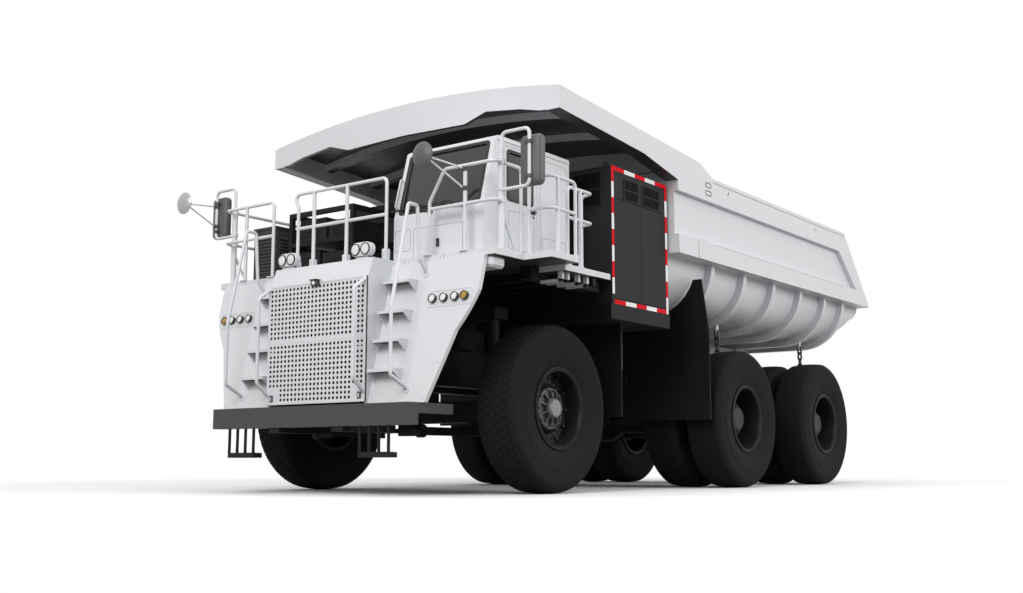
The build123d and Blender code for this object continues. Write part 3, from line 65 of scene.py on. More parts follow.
carrier = bpy.data.meshes.new("carrier")


class Shape:
    """Forms made with mesh operators, gathered into one mesh; a form has the first finish or a named one."""

    def __init__(self, *finishes):
        self.form = bmesh.new()
        self.finishes = finishes

    def take(self, made, finish=None, place=None):
        """Takes in a small form, moved by a matrix, with its faces turned outwards."""
        if place is not None:
            bmesh.ops.transform(made, matrix=place, verts=made.verts[:])
        bmesh.ops.recalc_face_normals(made, faces=made.faces[:])
        if made.calc_volume(signed=True) < 0:
            bmesh.ops.reverse_faces(made, faces=made.faces[:])
        mark = 0 if finish is None else self.finishes.index(finish)
        for face in made.faces:
            face.material_index = mark
        self.join(made)

    def join(self, made):
        """Moves a form's mesh into this one."""
        made.to_mesh(carrier)
        made.free()
        self.form.from_mesh(carrier)

    def add(self, other, place):
        """Adds a copy of another shape, moved by a matrix."""
        copy = other.form.copy()
        bmesh.ops.transform(copy, matrix=place, verts=copy.verts[:])
        self.join(copy)

    def box(self, x, y, z, finish=None, soft=EDGE, place=None):
        """A box between low and high ends, with chamfered edges."""
        made = bmesh.new()
        bmesh.ops.create_cube(made, size=1.0)
        low, high = Vector((x[0], y[0], z[0])), Vector((x[1], y[1], z[1]))
        bmesh.ops.scale(made, vec=high - low, verts=made.verts[:])
        bmesh.ops.translate(made, vec=(low + high) / 2, verts=made.verts[:])
        chamfer(made, made.edges[:], min(soft, 0.22 * min(high - low)))
        self.take(made, finish, place)

    def prism(self, loop, lift, finish=None, soft=0.0, place=None):
        """An outline in 3-D, drawn out along a vector, its far edge chamfered by soft."""
        made = bmesh.new()
        made.faces.new([made.verts.new(p) for p in loop])
        far = raise_faces(made, made.faces[:], lift)
        if soft:
            chamfer(made, [edge for edge in made.edges if far.issuperset(edge.verts)], soft)
        self.take(made, finish, place)

    def ring(self, outer, inner, lift, finish=None):
        """A flat frame between two outlines of the same count, drawn out along a vector."""
        made = bmesh.new()
        carry_on(made, outline(made, outer), inner)
        raise_faces(made, made.faces[:], lift)
        self.take(made, finish)

    def border(self, width, height, corner, cuts, plane, lift, finish=None):
        """A flat frame between two cuts into a rounded rectangle on a plane."""
        loops = [panel(width - cut, height - cut, corner, *plane) for cut in cuts]
        self.ring(*loops, lift, finish)

    def loft(self, loops, finish=None):
        """A closed form through outlines of the same count, with flat ends."""
        made = bmesh.new()
        verts = outline(made, loops[0])
        made.faces.new(verts)
        for loop in loops[1:]:
            verts = carry_on(made, verts, loop)
        made.faces.new(verts)
        self.take(made, finish)

    def tube(self, points, radius, sides, finish=None):
        """A round bar along points, each ring square to the bend there."""
        spots = [Vector(p) for p in points]
        legs = [(b - a).normalized() for a, b in zip(spots, spots[1:])]
        ways = [legs[0]] + [(a + b).normalized() for a, b in zip(legs, legs[1:])] + [legs[-1]]
        made = bmesh.new()
        bmesh.ops.create_circle(made, cap_ends=True, segments=sides, radius=radius)
        stand = Matrix.Translation(spots[0]) @ ways[0].to_track_quat("Z", "Y").to_matrix().to_4x4()
        bmesh.ops.transform(made, matrix=stand, verts=made.verts[:])
        end = made.faces[:]
        for spot, after, way, turned in zip(spots, spots[1:], ways, ways[1:]):
            far = raise_faces(made, end, (0, 0, 0))
            swing = way.rotation_difference(turned).to_matrix().to_4x4()
            step = Matrix.Translation(after) @ swing @ Matrix.Translation(-spot)
            bmesh.ops.transform(made, matrix=step, verts=list(far))
            end = [face for face in made.faces if far.issuperset(face.verts)]
        self.take(made, finish)

    def turn(self, profile, steps, finish=None, place=None, closed=True):
        """A ring about the X axis from (x, radius) points."""
        spots = [(x, radius, 0) for x, radius in profile]
        if not closed:
            spots = [(x, 0, 0) for x, radius in profile[:1] if radius] + spots
            spots += [(x, 0, 0) for x, radius in profile[-1:] if radius]
        made = bmesh.new()
        verts = [made.verts.new(p) for p in spots]
        pairs = list(zip(verts, verts[1:])) + ([(verts[-1], verts[0])] if closed else [])
        edges = [made.edges.new(pair) for pair in pairs]
        bmesh.ops.spin(
            made, geom=verts + edges, cent=(0, 0, 0), axis=ACROSS, angle=tau, steps=steps, use_merge=True
        )
        bmesh.ops.remove_doubles(made, verts=made.verts[:], dist=1e-6)
        self.take(made, finish, place)

    def cap(self, profile, steps, finish=None, place=None):
        """A solid about the X axis, its outline shut on the axis."""
        self.turn(profile, steps, finish, place, False)

    def stud(self, at, normal, foot, top, tall, sides, finish=None):
        """A low round stud with sloping sides, by the radius of its foot and top."""
        self.cap([(0.0, foot), (tall, top), (tall, 0.0)], sides, finish, aimed(at, normal))

    def flange(self, at, normal, foot, top, tall, bore, sides, finish=None):
        """A low round flange about a bar or a hole."""
        self.turn([(0.0, foot), (tall, top), (tall, bore)], sides, finish, aimed(at, normal))

    def collar(self, at, axis, inner, outer, length, finish=None):
        """A clamp ring about a direction, its middle at a point."""
        half = length / 2
        edge = 0.3 * (outer - inner)
        profile = [(-half, inner), (-half, outer - edge), (-half + edge, outer)]
        profile += [(half - edge, outer), (half, outer - edge), (half, inner)]
        self.turn(profile, 32, finish, aimed(at, axis))

    def bolt(self, at, normal, size, finish=None, place=None):
        """A hexagon head on a washer; size is half the head's width."""
        stand = aimed(at, normal)
        if place is not None:
            stand = place @ stand
        thick = 0.25 * size
        self.cap([(0, 0), (0, 1.5 * size), (thick, 1.4 * size), (thick, 0)], 12, finish, stand)
        tall = thick + 0.8 * size
        head = [(thick, 0), (thick, size), (tall - 0.15 * size, size), (tall, 0.82 * size), (tall, 0)]
        self.cap(head, 6, finish, stand)


def chamfer(made, edges, width):
    """Cuts edges back by a small flat."""
    bmesh.ops.bevel(
        made, geom=edges, offset=width, offset_type="OFFSET", segments=1, profile=0.5, affect="EDGES",
        material=-1
    )


def raise_faces(made, faces, lift):
    """Extrudes faces along a vector and gives the new vertices."""
    raised = bmesh.ops.extrude_face_region(made, geom=faces)["geom"]
    far = {item for item in raised if isinstance(item, bmesh.types.BMVert)}
    bmesh.ops.translate(made, vec=lift, verts=list(far))
    return far


def outline(made, loop):
    """The vertices of a closed outline, joined by edges."""
    verts = [made.verts.new(p) for p in loop]
    for pair in zip(verts, verts[1:] + verts[:1]):
        made.edges.new(pair)
    return verts


def carry_on(made, verts, loop):
    """Extrudes an outline's edges onto the next outline, point by point, and gives its vertices."""
    edges = [made.edges.get(pair) for pair in zip(verts, verts[1:] + verts[:1])]
    new = bmesh.ops.extrude_edge_only(made, edges=edges)["geom"]
    twins = {tuple(item.co): item for item in new if isinstance(item, bmesh.types.BMVert)}
    far = [twins[tuple(vert.co)] for vert in verts]
    for vert, spot in zip(far, loop):
        vert.co = spot
    return far


def about(middle, half):
    """The low and high end of a length about its middle."""
    return (middle - half, middle + half)


def aimed(at, axis):
    """A place whose X axis points along a direction."""
    return Matrix.Translation(Vector(at)) @ Vector(axis).to_track_quat("X", "Z").to_matrix().to_4x4()


def arc(start, through, end, steps):
    """Points along the circle through three points in a plane, the first one left out."""
    (ax, ay), (bx, by), (cx, cy) = start, through, end
    d = 2 * (ax * (by - cy) + bx * (cy - ay) + cx * (ay - by))
    a2, b2, c2 = ax * ax + ay * ay, bx * bx + by * by, cx * cx + cy * cy
    ox = (a2 * (by - cy) + b2 * (cy - ay) + c2 * (ay - by)) / d
    oy = (a2 * (cx - bx) + b2 * (ax - cx) + c2 * (bx - ax)) / d
    radius = sqrt((ax - ox) ** 2 + (ay - oy) ** 2)
    first = atan2(ay - oy, ax - ox)
    sweep = (atan2(cy - oy, cx - ox) - first + pi) % tau - pi
    angles = [first + sweep * k / steps for k in range(1, steps + 1)]
    return [(ox + radius * cos(t), oy + radius * sin(t)) for t in angles]


def panel(width, height, corner, middle, across=ACROSS, up=UP, steps=5):
    """The outline of a rectangle with round corners, set into space."""
    middle, across, up = Vector(middle), Vector(across), Vector(up)
    points = []
    for sx, sy, first in ((1, 1, 0), (-1, 1, pi / 2), (-1, -1, pi), (1, -1, 3 * pi / 2)):
        cx, cy = sx * (width / 2 - corner), sy * (height / 2 - corner)
        for k in range(steps + 1):
            t = first + pi / 2 * k / steps
            points.append(middle + across * (cx + corner * cos(t)) + up * (cy + corner * sin(t)))
    return points


def bent(points, radius, steps=6):
    """Points of a path with its inner corners rounded."""
    spots = [Vector(p) for p in points]
    path = [spots[0]]
    for before, here, after in zip(spots, spots[1:], spots[2:]):
        back = (before - here).normalized()
        ahead = (after - here).normalized()
        reach = min(radius, 0.45 * (before - here).length, 0.45 * (after - here).length)
        for k in range(steps + 1):
            t = k / steps
            path.append(here + back * reach * (1 - t) ** 2 + ahead * reach * t**2)
    return path + [spots[-1]]


def piece(name, shape, body, smooth=35):
    """Makes a shape an object that rides on a body and takes its finish from a slot."""
    mesh = bpy.data.meshes.new(name)
    shape.form.to_mesh(mesh)
    shape.form.free()
    for finish in shape.finishes:
        mesh.materials.append(finish)
    mesh.polygons.foreach_set("use_smooth", [True] * len(mesh.polygons))
    mesh.set_sharp_from_angle(angle=radians(smooth))
    made = bpy.data.objects.new(name, mesh)
    bpy.context.scene.collection.objects.link(made)
    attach(made, body)
    return made


# Materials

def fill(tree, node, inputs):
    """Sets a node's inputs, or links them where the value is another node's output."""
    for key, value in inputs.items():
        if isinstance(value, bpy.types.NodeSocket):
            tree.links.new(value, node.inputs[key])
        else:
            node.inputs[key].default_value = value


def grow(tree, kind, inputs, **settings):
    """Adds a shader node with its settings and inputs, and gives its outputs."""
    node = tree.nodes.new(f"ShaderNode{kind}")
    for key, value in settings.items():
        setattr(node, key, value)
    fill(tree, node, inputs)
    return node.outputs


def finish_group():
    """A shared group: a colour with broad variation, dust that gathers low down, and a fine surface."""
    group = bpy.data.node_groups.new("finish", "ShaderNodeTree")
    face = group.interface
    for name in ("Colour", "Dust"):
        face.new_socket(name, in_out="INPUT", socket_type="NodeSocketColor")
    for name, value in (
        ("Variation", 0.06),
        ("Dust amount", 0.2),
        ("Dust height", 2.0),
        ("Roughness", 0.4),
        ("Roughness spread", 0.1),
        ("Grain scale", 120.0),
        ("Grain", 0.05),
    ):
        face.new_socket(name, in_out="INPUT", socket_type="NodeSocketFloat").default_value = value
    for name, kind in (("Colour", "Color"), ("Roughness", "Float"), ("Normal", "Vector")):
        face.new_socket(name, in_out="OUTPUT", socket_type=f"NodeSocket{kind}")
    given = group.nodes.new("NodeGroupInput").outputs
    result = group.nodes.new("NodeGroupOutput")

    def maths(operation, *values, clamp=False):
        inputs = dict(enumerate(values))
        return grow(group, "Math", inputs, operation=operation, use_clamp=clamp)[0]

    place = grow(group, "TexCoord", {})["Object"]
    broad = grow(group, "TexNoise", {"Vector": place, "Scale": 1.1, "Detail": 6.0})["Fac"]
    centred = maths("SUBTRACT", broad, 0.5)
    tone = maths("MULTIPLY_ADD", centred, given["Variation"], 1.0)
    varied = grow(group, "VectorMath", {0: given["Colour"], "Scale": tone}, operation="SCALE")["Vector"]
    ramp = {"Value": grow(group, "SeparateXYZ", {0: place})["Z"], "From Min": 0.0}
    ramp |= {"From Max": given["Dust height"], "To Min": 1.0, "To Max": 0.0}
    low = grow(group, "MapRange", ramp)["Result"]
    patch = grow(group, "TexNoise", {"Vector": place, "Scale": 5.0, "Detail": 8.0})["Fac"]
    dusty = maths("MULTIPLY", maths("MULTIPLY", low, patch), given["Dust amount"], clamp=True)
    ends = {"Factor": dusty, "A": varied, "B": given["Dust"]}
    colour = grow(group, "Mix", ends, data_type="RGBA")["Result"]
    rough = maths("MULTIPLY_ADD", centred, given["Roughness spread"], given["Roughness"])
    grain = grow(group, "TexNoise", {"Vector": place, "Scale": given["Grain scale"], "Detail": 3.0})["Fac"]
    fine = {"Distance": 0.002, "Strength": given["Grain"], "Height": grain}
    normal = grow(group, "Bump", fine)["Normal"]
    roughness = maths("ADD", rough, dusty, clamp=True)
    fill(group, result, {"Colour": colour, "Roughness": roughness, "Normal": normal})
    return group


shared_finish = finish_group()
DUST = (0.36, 0.34, 0.31, 1.0)
WHITE = (0.70, 0.71, 0.73)


def surface(name, colour, roughness, metal=0.0, coat=0.0, gloss=0.5, **settings):
    """A material whose colour, roughness and surface come from the shared group."""
    material = bpy.data.materials.new(name)
    material.use_nodes = True
    tree = material.node_tree
    inputs = {"Colour": (*colour, 1.0), "Dust": DUST, "Roughness": roughness}
    for key, value in settings.items():
        inputs[key.replace("_", " ").capitalize()] = value
    made = grow(tree, "Group", inputs, node_tree=shared_finish)
    looks = {"Base Color": made["Colour"], "Roughness": made["Roughness"], "Normal": made["Normal"]}
    looks |= {"Metallic": metal, "Specular IOR Level": gloss, "Coat Weight": coat, "Coat Roughness": 0.12}
    fill(tree, tree.nodes["Principled BSDF"], looks)
    return material


white = surface("white_paint", WHITE, 0.40, coat=0.1, variation=0.05, dust_amount=0.12, dust_height=2.6)
dark = surface("dark_paint", (0.050, 0.051, 0.053), 0.45, gloss=0.3, variation=0.2, dust_amount=0.08)
black = surface("black_paint", (0.012, 0.0122, 0.0128), 0.48, gloss=0.12, variation=0.3, dust_amount=0.03)
cabinet = surface("cabinet_paint", (0.022, 0.0225, 0.024), 0.50, gloss=0.10, variation=0.2, dust_amount=0.03)
louvre_paint = surface(
    "louvre_paint", (0.055, 0.056, 0.058), 0.50, gloss=0.2, variation=0.2, dust_amount=0.03
)
rubber = surface(
    "tyre_rubber", (0.014, 0.014, 0.0145), 0.72, gloss=0.06, variation=0.3, dust_amount=0.03,
    dust_height=1.4, grain=0.25
)
flap = surface(
    "flap_rubber", (0.011, 0.011, 0.011), 0.62, gloss=0.08, variation=0.25, dust_amount=0.04, grain=0.2
)
wheel_black = surface("wheel_paint", (0.010, 0.010, 0.011), 0.42, gloss=0.15, variation=0.3, dust_amount=0.03)
casting = surface("casting", (0.07, 0.072, 0.075), 0.5, metal=0.3, variation=0.3, grain=0.35)
hub_dark = surface("hub_dark", (0.020, 0.020, 0.021), 0.45, gloss=0.3, variation=0.3, grain=0.2)
cap_grey = surface("cap_grey", (0.22, 0.23, 0.235), 0.42, metal=0.3, variation=0.1)
steel = surface("ground_steel", (0.55, 0.56, 0.58), 0.18, metal=1.0, variation=0.1, grain=0.02)
forged = surface("forged_steel", (0.06, 0.06, 0.06), 0.5, metal=0.6, variation=0.3, grain=0.3)
plastic = surface("black_plastic", (0.030, 0.031, 0.033), 0.5, variation=0.15, grain_scale=900.0, grain=0.15)
mirror_grey = surface(
    "mirror_shell", (0.085, 0.088, 0.092), 0.45, variation=0.1, grain_scale=900.0, grain=0.1
)
seal = surface("seal_rubber", (0.012, 0.012, 0.012), 0.6, variation=0.1, grain_scale=600.0, grain=0.15)
cloth = surface("seat_cloth", (0.04, 0.04, 0.045), 0.9, variation=0.2, grain_scale=700.0, grain=0.6)
casing = surface("battery_casing", (0.22, 0.225, 0.23), 0.4, metal=0.7, variation=0.1)
seam_grey = surface("seam_line", (0.20, 0.205, 0.21), 0.6, gloss=0.1, variation=0.1)
# Painted shade: near-black, dull and dustless, for the sheet that stands in for the dark inside of each vent.
vent_shade_sheet = surface("vent_painted_shade", (0.002, 0.002, 0.002), 0.9, gloss=0.0, variation=0.1, dust_amount=0.0)
red = surface(
    "stripe_red", (0.74, 0.008, 0.018), 0.55, gloss=0.06, variation=0.06, grain_scale=500.0, grain=0.08
)
pale = surface(
    "stripe_white", (0.88, 0.88, 0.88), 0.55, gloss=0.06, variation=0.03, grain_scale=500.0, grain=0.08
)
silver = surface("mirror_glass", (0.80, 0.82, 0.84), 0.03, metal=1.0, variation=0.02, grain=0.0)
bezel = surface("lamp_bezel", (0.03, 0.03, 0.03), 0.35, variation=0.1)
dome_grey = surface("dome_shell", (0.42, 0.43, 0.44), 0.3, metal=0.4, variation=0.06)
reflector = surface("lamp_reflector", (0.72, 0.73, 0.74), 0.16, metal=1.0, variation=0.04, grain=0.02)


def lens_material(name, colour, transmission, roughness):
    """A clear or tinted pane."""
    material = surface(name, colour, roughness, coat=0.3, variation=0.04, dust_amount=0.0, grain=0.0)
    tree = material.node_tree
    fill(tree, tree.nodes["Principled BSDF"], {"Transmission Weight": transmission, "IOR": 1.46})
    return material


def paint_with_painted_shade(name, colour, axis, plain, shaded):
    """White paint with painted shade: a darker colour on faces whose direction along an axis runs from plain
    to shaded.
    """
    material = surface(name, WHITE, 0.40, coat=0.1, variation=0.05, dust_amount=0.0)
    tree = material.node_tree
    # Painted shade: the face's direction sets how much of the dark colour replaces the white.
    facing = grow(tree, "SeparateXYZ", {0: grow(tree, "TexCoord", {})["Normal"]})[axis]
    share = grow(tree, "MapRange", {"Value": facing, "From Min": plain, "From Max": shaded})["Result"]
    ends = {"Factor": share, "A": tree.nodes["Group"].outputs["Colour"], "B": (*colour, 1.0)}
    shaded_colour = grow(tree, "Mix", ends, data_type="RGBA")["Result"]
    fill(tree, tree.nodes["Principled BSDF"], {"Base Color": shaded_colour})
    return material


# Painted shade: the undersides of the deck and of the bed's canopy are coloured near black and dark grey,
# where shade falls under them.
deck_paint_painted_shade = paint_with_painted_shade("deck_paint_painted_shade", (0.014, 0.014, 0.015), "Z", -0.20, -0.35)
canopy_paint_painted_shade = paint_with_painted_shade("canopy_paint_painted_shade", (0.040, 0.041, 0.043), "Z", -0.20, -0.35)
# Painted shade: the downward faces of the ladder steps are coloured dark grey.
step_paint_painted_shade = paint_with_painted_shade("step_paint_painted_shade", (0.060, 0.061, 0.063), "Z", -0.80, -0.95)
# Painted shade: every grille face that does not face ahead, such as the walls of its holes, is coloured near
# black.
grille_paint_painted_shade = paint_with_painted_shade("grille_paint_painted_shade", (0.010, 0.010, 0.010), "Y", -0.90, -0.60)
glass = lens_material("tinted_glass", (0.07, 0.078, 0.085), 0.75, 0.04)
clear = lens_material("lamp_lens", (0.92, 0.93, 0.94), 0.15, 0.10)
amber = lens_material("amber_lens", (0.50, 0.30, 0.035), 0.15, 0.14)

node_materials = {
    white: (
        "radiator_housing fascia ladder_rails deck_rails mirror_arms cab_shell cab_door"
        " bed_shell bed_sills"
    ),
    deck_paint_painted_shade: "deck",
    canopy_paint_painted_shade: "bed_canopy",
    step_paint_painted_shade: "ladder_steps",
    grille_paint_painted_shade: "grille",
    louvre_paint: "louvre_box",
    dark: "bumper",
    black: (
        "frame bumper_steps drive_motor rack_frame battery_tray front_axle front_struts rear_axles"
        " knuckle_left knuckle_right tie_rod hoist_barrels cooling_pack"
    ),
    cabinet: (
        "battery_cabinet cabinet_door_front_left cabinet_door_back_left cabinet_door_front_right"
        " cabinet_door_back_right"
    ),
    flap: "guards",
    glass: "cab_glass cab_door_glass",
    cloth: "cab_seat",
    plastic: "cab_dash",
    mirror_grey: "mirrors",
    casing: "battery_block",
    steel: "hoist_stages hoist_rods",
    forged: "ejectors_mid ejectors_rear",
    clear: "headlamps",
    amber: "turn_lamps",
    bezel: "work_lamps",
}
for material, names in node_materials.items():
    for name in names.split():
        mesh = nodes[name].data
        mesh.materials.clear()
        mesh.materials.append(material)


# Tyres

TYRE_HALF = 0.2825
TREAD_HALF = 0.2145
TREAD_RADIUS = 1.012
TREAD_SUNK = 0.010
TYRE_RADIUS = 1.025
BEAD = 0.48
BEAD_X = 0.2325
SHOULDER_BARE = 6


def tyre_side():
    """One side of a tyre from its bead to the tread's edge, as (x, radius)."""
    low = (BEAD_X, BEAD + 0.026)
    wall = [(BEAD_X, BEAD), low] + arc(low, (0.2625, 0.614), (TYRE_HALF, 0.74), 8)
    ridges = []
    for radius in (0.765, 0.835):
        ridges += [(TYRE_HALF, radius - 0.007), (TYRE_HALF + 0.003, radius - 0.003)]
        ridges += [(TYRE_HALF + 0.003, radius + 0.003), (TYRE_HALF, radius + 0.007)]
    shoulder_low = (TYRE_HALF, 0.86)
    shoulder = arc(shoulder_low, (TYRE_HALF - 0.015, 0.96), (TREAD_HALF, TREAD_RADIUS), 10)
    return wall, ridges + [shoulder_low], shoulder


def tyre_profile(sunk):
    """A whole tyre's outline, with the tread band sunk by a depth."""
    wall, ridges, shoulder = tyre_side()
    crown = arc((TREAD_HALF, TREAD_RADIUS), (0, TYRE_RADIUS), (-TREAD_HALF, TREAD_RADIUS), 16)[:-1]
    covered = shoulder[SHOULDER_BARE:]
    band = covered + crown + [(-x, r) for x, r in reversed(covered)]
    right = wall + ridges + shoulder[:SHOULDER_BARE]
    return right + [(x, r - sunk) for x, r in band] + [(-x, r) for x, r in reversed(right)]


def tread_line():
    """The tread's surface from the crown's middle out over the shoulder, as points with their run."""
    shoulder = tyre_side()[2]
    crown = [(0, TYRE_RADIUS)] + arc((0, TYRE_RADIUS), (0.11, 1.0216), (TREAD_HALF, TREAD_RADIUS), 10)
    points = crown + list(reversed(shoulder))[1:]
    runs = [0.0]
    for a, b in zip(points, points[1:]):
        runs.append(runs[-1] + sqrt((b[0] - a[0]) ** 2 + (b[1] - a[1]) ** 2))
    return points, runs


tread_points, tread_runs = tread_line()


def on_tread(run, angle, depth):
    """A point on the tread, a run from its middle and an angle round it, sunk by a depth."""
    size = abs(run)
    row = max(i for i, own in enumerate(tread_runs[:-1]) if own <= size)
    share = (size - tread_runs[row]) / (tread_runs[row + 1] - tread_runs[row])
    (ax, ar), (bx, br) = tread_points[row], tread_points[row + 1]
    x, radius = ax + (bx - ax) * share, ar + (br - ar) * share
    x = x if run >= 0 else -x
    return (x, (radius - depth) * cos(angle), (radius - depth) * sin(angle))


def tread_blocks(shape):
    """Six-sided tread blocks in staggered columns, parted by narrow grooves."""
    around = 66
    column = 0.082
    outermost = 3
    lean = 0.024
    groove = 0.006
    depth = 0.011
    edge = 0.003
    top_share = 0.93
    outer_reach = 0.062
    pitch = tau / around
    tall = pitch / 2 - groove / TYRE_RADIUS
    near, far = (column - lean) / 2 - groove, (column + lean) / 2 - groove
    for place in range(-outermost, outermost + 1):
        middle = place * column
        stagger = 0.5 if place % 2 else 0.0
        flat = [(near, tall), (far, 0), (near, -tall), (-near, -tall), (-far, 0), (-near, tall)]
        if place == outermost:
            flat = [(outer_reach, tall), (outer_reach, 0), (outer_reach, -tall)] + flat[3:]
        elif place == -outermost:
            flat = flat[:3] + [(-outer_reach, -tall), (-outer_reach, 0), (-outer_reach, tall)]
        for step in range(around):
            centre = (step + stagger) * pitch
            made = bmesh.new()
            made.faces.new([made.verts.new((run, angle, -depth)) for run, angle in flat])
            raise_faces(made, made.faces[:], (0, 0, depth - edge))
            top = [face for face in made.faces if all(vert.co.z > -depth / 2 for vert in face.verts)]
            crown = raise_faces(made, top, (0, 0, edge))
            bmesh.ops.scale(made, vec=(top_share, top_share, 1.0), verts=list(crown))
            bmesh.ops.poke(made, faces=[face for face in made.faces if crown.issuperset(face.verts)])
            for vert in made.verts:
                vert.co = on_tread(middle + vert.co.x, centre + vert.co.y, -vert.co.z)
            shape.take(made)


def tyre(treaded):
    """A tyre about the X axis."""
    shape = Shape(rubber)
    shape.turn(tyre_profile(TREAD_SUNK if treaded else 0.0), 128)
    if treaded:
        tread_blocks(shape)
    return shape


# Wheels

FRONT_WHEEL_X = 1.918
TWIN_X = 1.8775
TWIN_HALF = 0.360
RIM_STEPS = 96
CAP_STEPS = 64


def barrel(shape):
    """A rim's barrel with flanges, a lock ring and its groove at the outer side."""
    flange, inner = 0.504, 0.444
    edge = BEAD_X + 0.025
    profile = [(-edge, inner), (-edge, flange - 0.008), (-edge + 0.008, flange), (-BEAD_X - 0.001, flange)]
    profile += [(-BEAD_X, BEAD - 0.001), (BEAD_X, BEAD - 0.001), (BEAD_X + 0.001, flange)]
    profile += [(edge - 0.008, flange), (edge, flange - 0.008), (edge, 0.484), (edge - 0.010, 0.480)]
    profile += [(edge - 0.010, 0.474), (edge - 0.002, 0.470), (edge - 0.002, 0.458), (edge - 0.030, 0.446)]
    profile += [(edge - 0.040, inner), (-edge + 0.02, inner)]
    shape.turn(profile, RIM_STEPS)


def bolt_circle(shape, x, radius, count, size, finish=None):
    """Bolt heads facing +X on a circle about the X axis."""
    for k in range(count):
        t = tau * k / count
        shape.bolt((x, radius * cos(t), radius * sin(t)), ACROSS, size, finish)


def front_wheel():
    """The front rim with its disc, clamps, planet cover with ribs, and round cap."""
    shape = Shape(wheel_black, casting, cap_grey)
    barrel(shape)
    disc = [(-0.10, 0.121), (-0.10, 0.25), (0.0, 0.25), (0.0, 0.445), (0.040, 0.445), (0.040, 0.42)]
    disc += [(0.030, 0.40), (0.030, 0.31), (0.050, 0.285), (0.085, 0.262), (0.085, 0.121)]
    shape.turn(disc, RIM_STEPS)
    cover = [(0.084, 0.0), (0.084, 0.255), (0.110, 0.252), (0.118, 0.240), (0.118, 0.226), (0.096, 0.220)]
    cover += [(0.100, 0.130), (0.150, 0.126), (0.155, 0.0)]
    shape.cap(cover, RIM_STEPS, casting)
    head = 0.011
    ribs = 10
    rib_half = 0.008
    web = [(0.096, 0.222), (0.116, 0.230), (0.148, 0.150), (0.148, 0.122), (0.099, 0.122)]
    for k in range(ribs):
        loop = [(x, -rib_half, r) for x, r in web]
        shape.prism(loop, (0, 2 * rib_half, 0), casting, place=Matrix.Rotation(tau * k / ribs, 4, "X"))
        between = Matrix.Rotation(tau * (k + 0.5) / ribs, 4, "X")
        shape.bolt((0.118, 0, 0.240), ACROSS, head, casting, between)
    cap = [(0.150, 0.0), (0.150, 0.118), (0.190, 0.112), (0.203, 0.100), (0.205, 0.085), (0.205, 0.0)]
    shape.cap(cap, CAP_STEPS, cap_grey)
    bolt_circle(shape, 0.030, 0.345, 24, 0.014, casting)
    clamps = 12
    for k in range(clamps):
        turn = Matrix.Rotation(tau * k / clamps, 4, "X")
        shape.box((0.038, 0.060), (-0.020, 0.020), (0.392, 0.442), soft=0.005, place=turn)
        shape.bolt((0.060, 0, 0.412), ACROSS, head, casting, turn)
    return shape


def twin_wheel():
    """Twin rims, a spacer between them, and the deep outer dish with its bolted cover."""
    shape = Shape(wheel_black, hub_dark)
    single = Shape(wheel_black)
    barrel(single)
    shape.add(single, Matrix.Translation((TWIN_HALF, 0, 0)))
    shape.add(single, Matrix.Translation((-TWIN_HALF, 0, 0)) @ Matrix.Rotation(pi, 4, "Z"))
    reach = TWIN_HALF - BEAD_X - 0.026
    shape.turn([(-reach, 0.444), (-reach, 0.479), (reach, 0.479), (reach, 0.444)], RIM_STEPS)
    disc = [(0.12, 0.121), (0.12, 0.25), (0.22, 0.25), (0.22, 0.445), (0.262, 0.445), (0.262, 0.42)]
    disc += [(0.258, 0.40), (0.258, 0.33), (0.30, 0.30), (0.30, 0.121)]
    shape.turn(disc, RIM_STEPS)
    inside = [(-0.36, 0.121), (-0.36, 0.25), (-0.26, 0.25), (-0.26, 0.445), (-0.22, 0.445), (-0.22, 0.25)]
    inside += [(-0.14, 0.22), (-0.14, 0.121)]
    shape.turn(inside, RIM_STEPS)
    cover = [(0.299, 0.0), (0.299, 0.312), (0.318, 0.312), (0.324, 0.304), (0.324, 0.262), (0.345, 0.250)]
    cover += [(0.418, 0.225), (0.424, 0.212), (0.424, 0.0)]
    shape.cap(cover, RIM_STEPS, hub_dark)
    cap = [(0.423, 0.0), (0.423, 0.200), (0.440, 0.196), (0.470, 0.165), (0.479, 0.150), (0.479, 0.0)]
    shape.cap(cap, CAP_STEPS, hub_dark)
    bolt_circle(shape, 0.324, 0.286, 30, 0.014, hub_dark)
    bolt_circle(shape, 0.424, 0.208, 16, 0.010, hub_dark)
    bolt_circle(shape, 0.258, 0.365, 24, 0.015)
    return shape


def wheel_place(x, y, sign):
    """Where a wheel drawn about the X axis sits; sign -1 turns it round for the right side."""
    turn = Matrix.Identity(4) if sign > 0 else Matrix.Rotation(pi, 4, "Z")
    return Matrix.Translation((sign * x, y, AXLE_Z)) @ turn


def placed(source, *places):
    """A new shape with a copy of another at each place."""
    shape = Shape(*source.finishes)
    for place in places:
        shape.add(source, place)
    return shape


def wheels():
    """The dressed tyres and rims of all ten wheels."""
    treaded, plain = tyre(True), tyre(False)
    front, twin = front_wheel(), twin_wheel()
    for side, sign in SIDES:
        place = wheel_place(FRONT_WHEEL_X, FRONT, sign)
        body = f"front_wheel_{side}"
        made = piece(f"tyre_front_{side}", placed(treaded, place), body)
        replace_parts(made, f"front_tyre_{side}")
        made = piece(f"wheel_front_{side}", placed(front, place), body)
        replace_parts(made, f"front_rim_{side}")
        for axle, y in (("mid", MID), ("rear", REAR)):
            place = wheel_place(TWIN_X, y, sign)
            body = f"{axle}_wheels_{side}"
            pair = [place @ Matrix.Translation((offset, 0, 0)) for offset in (-TWIN_HALF, TWIN_HALF)]
            made = piece(f"tyre_{axle}_{side}", placed(plain, *pair), body)
            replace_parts(made, f"{axle}_tyres_{side}")
            made = piece(f"wheel_{axle}_{side}", placed(twin, place), body)
            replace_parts(made, f"{axle}_rims_{side}")


wheels()


# Battery cabinet

CABINET_FRONT = FRONT + 0.933
CABINET_BACK = CABINET_FRONT + 1.461
CABINET_X = 2.358
CABINET_LOW = 2.395
CABINET_HIGH = 4.222


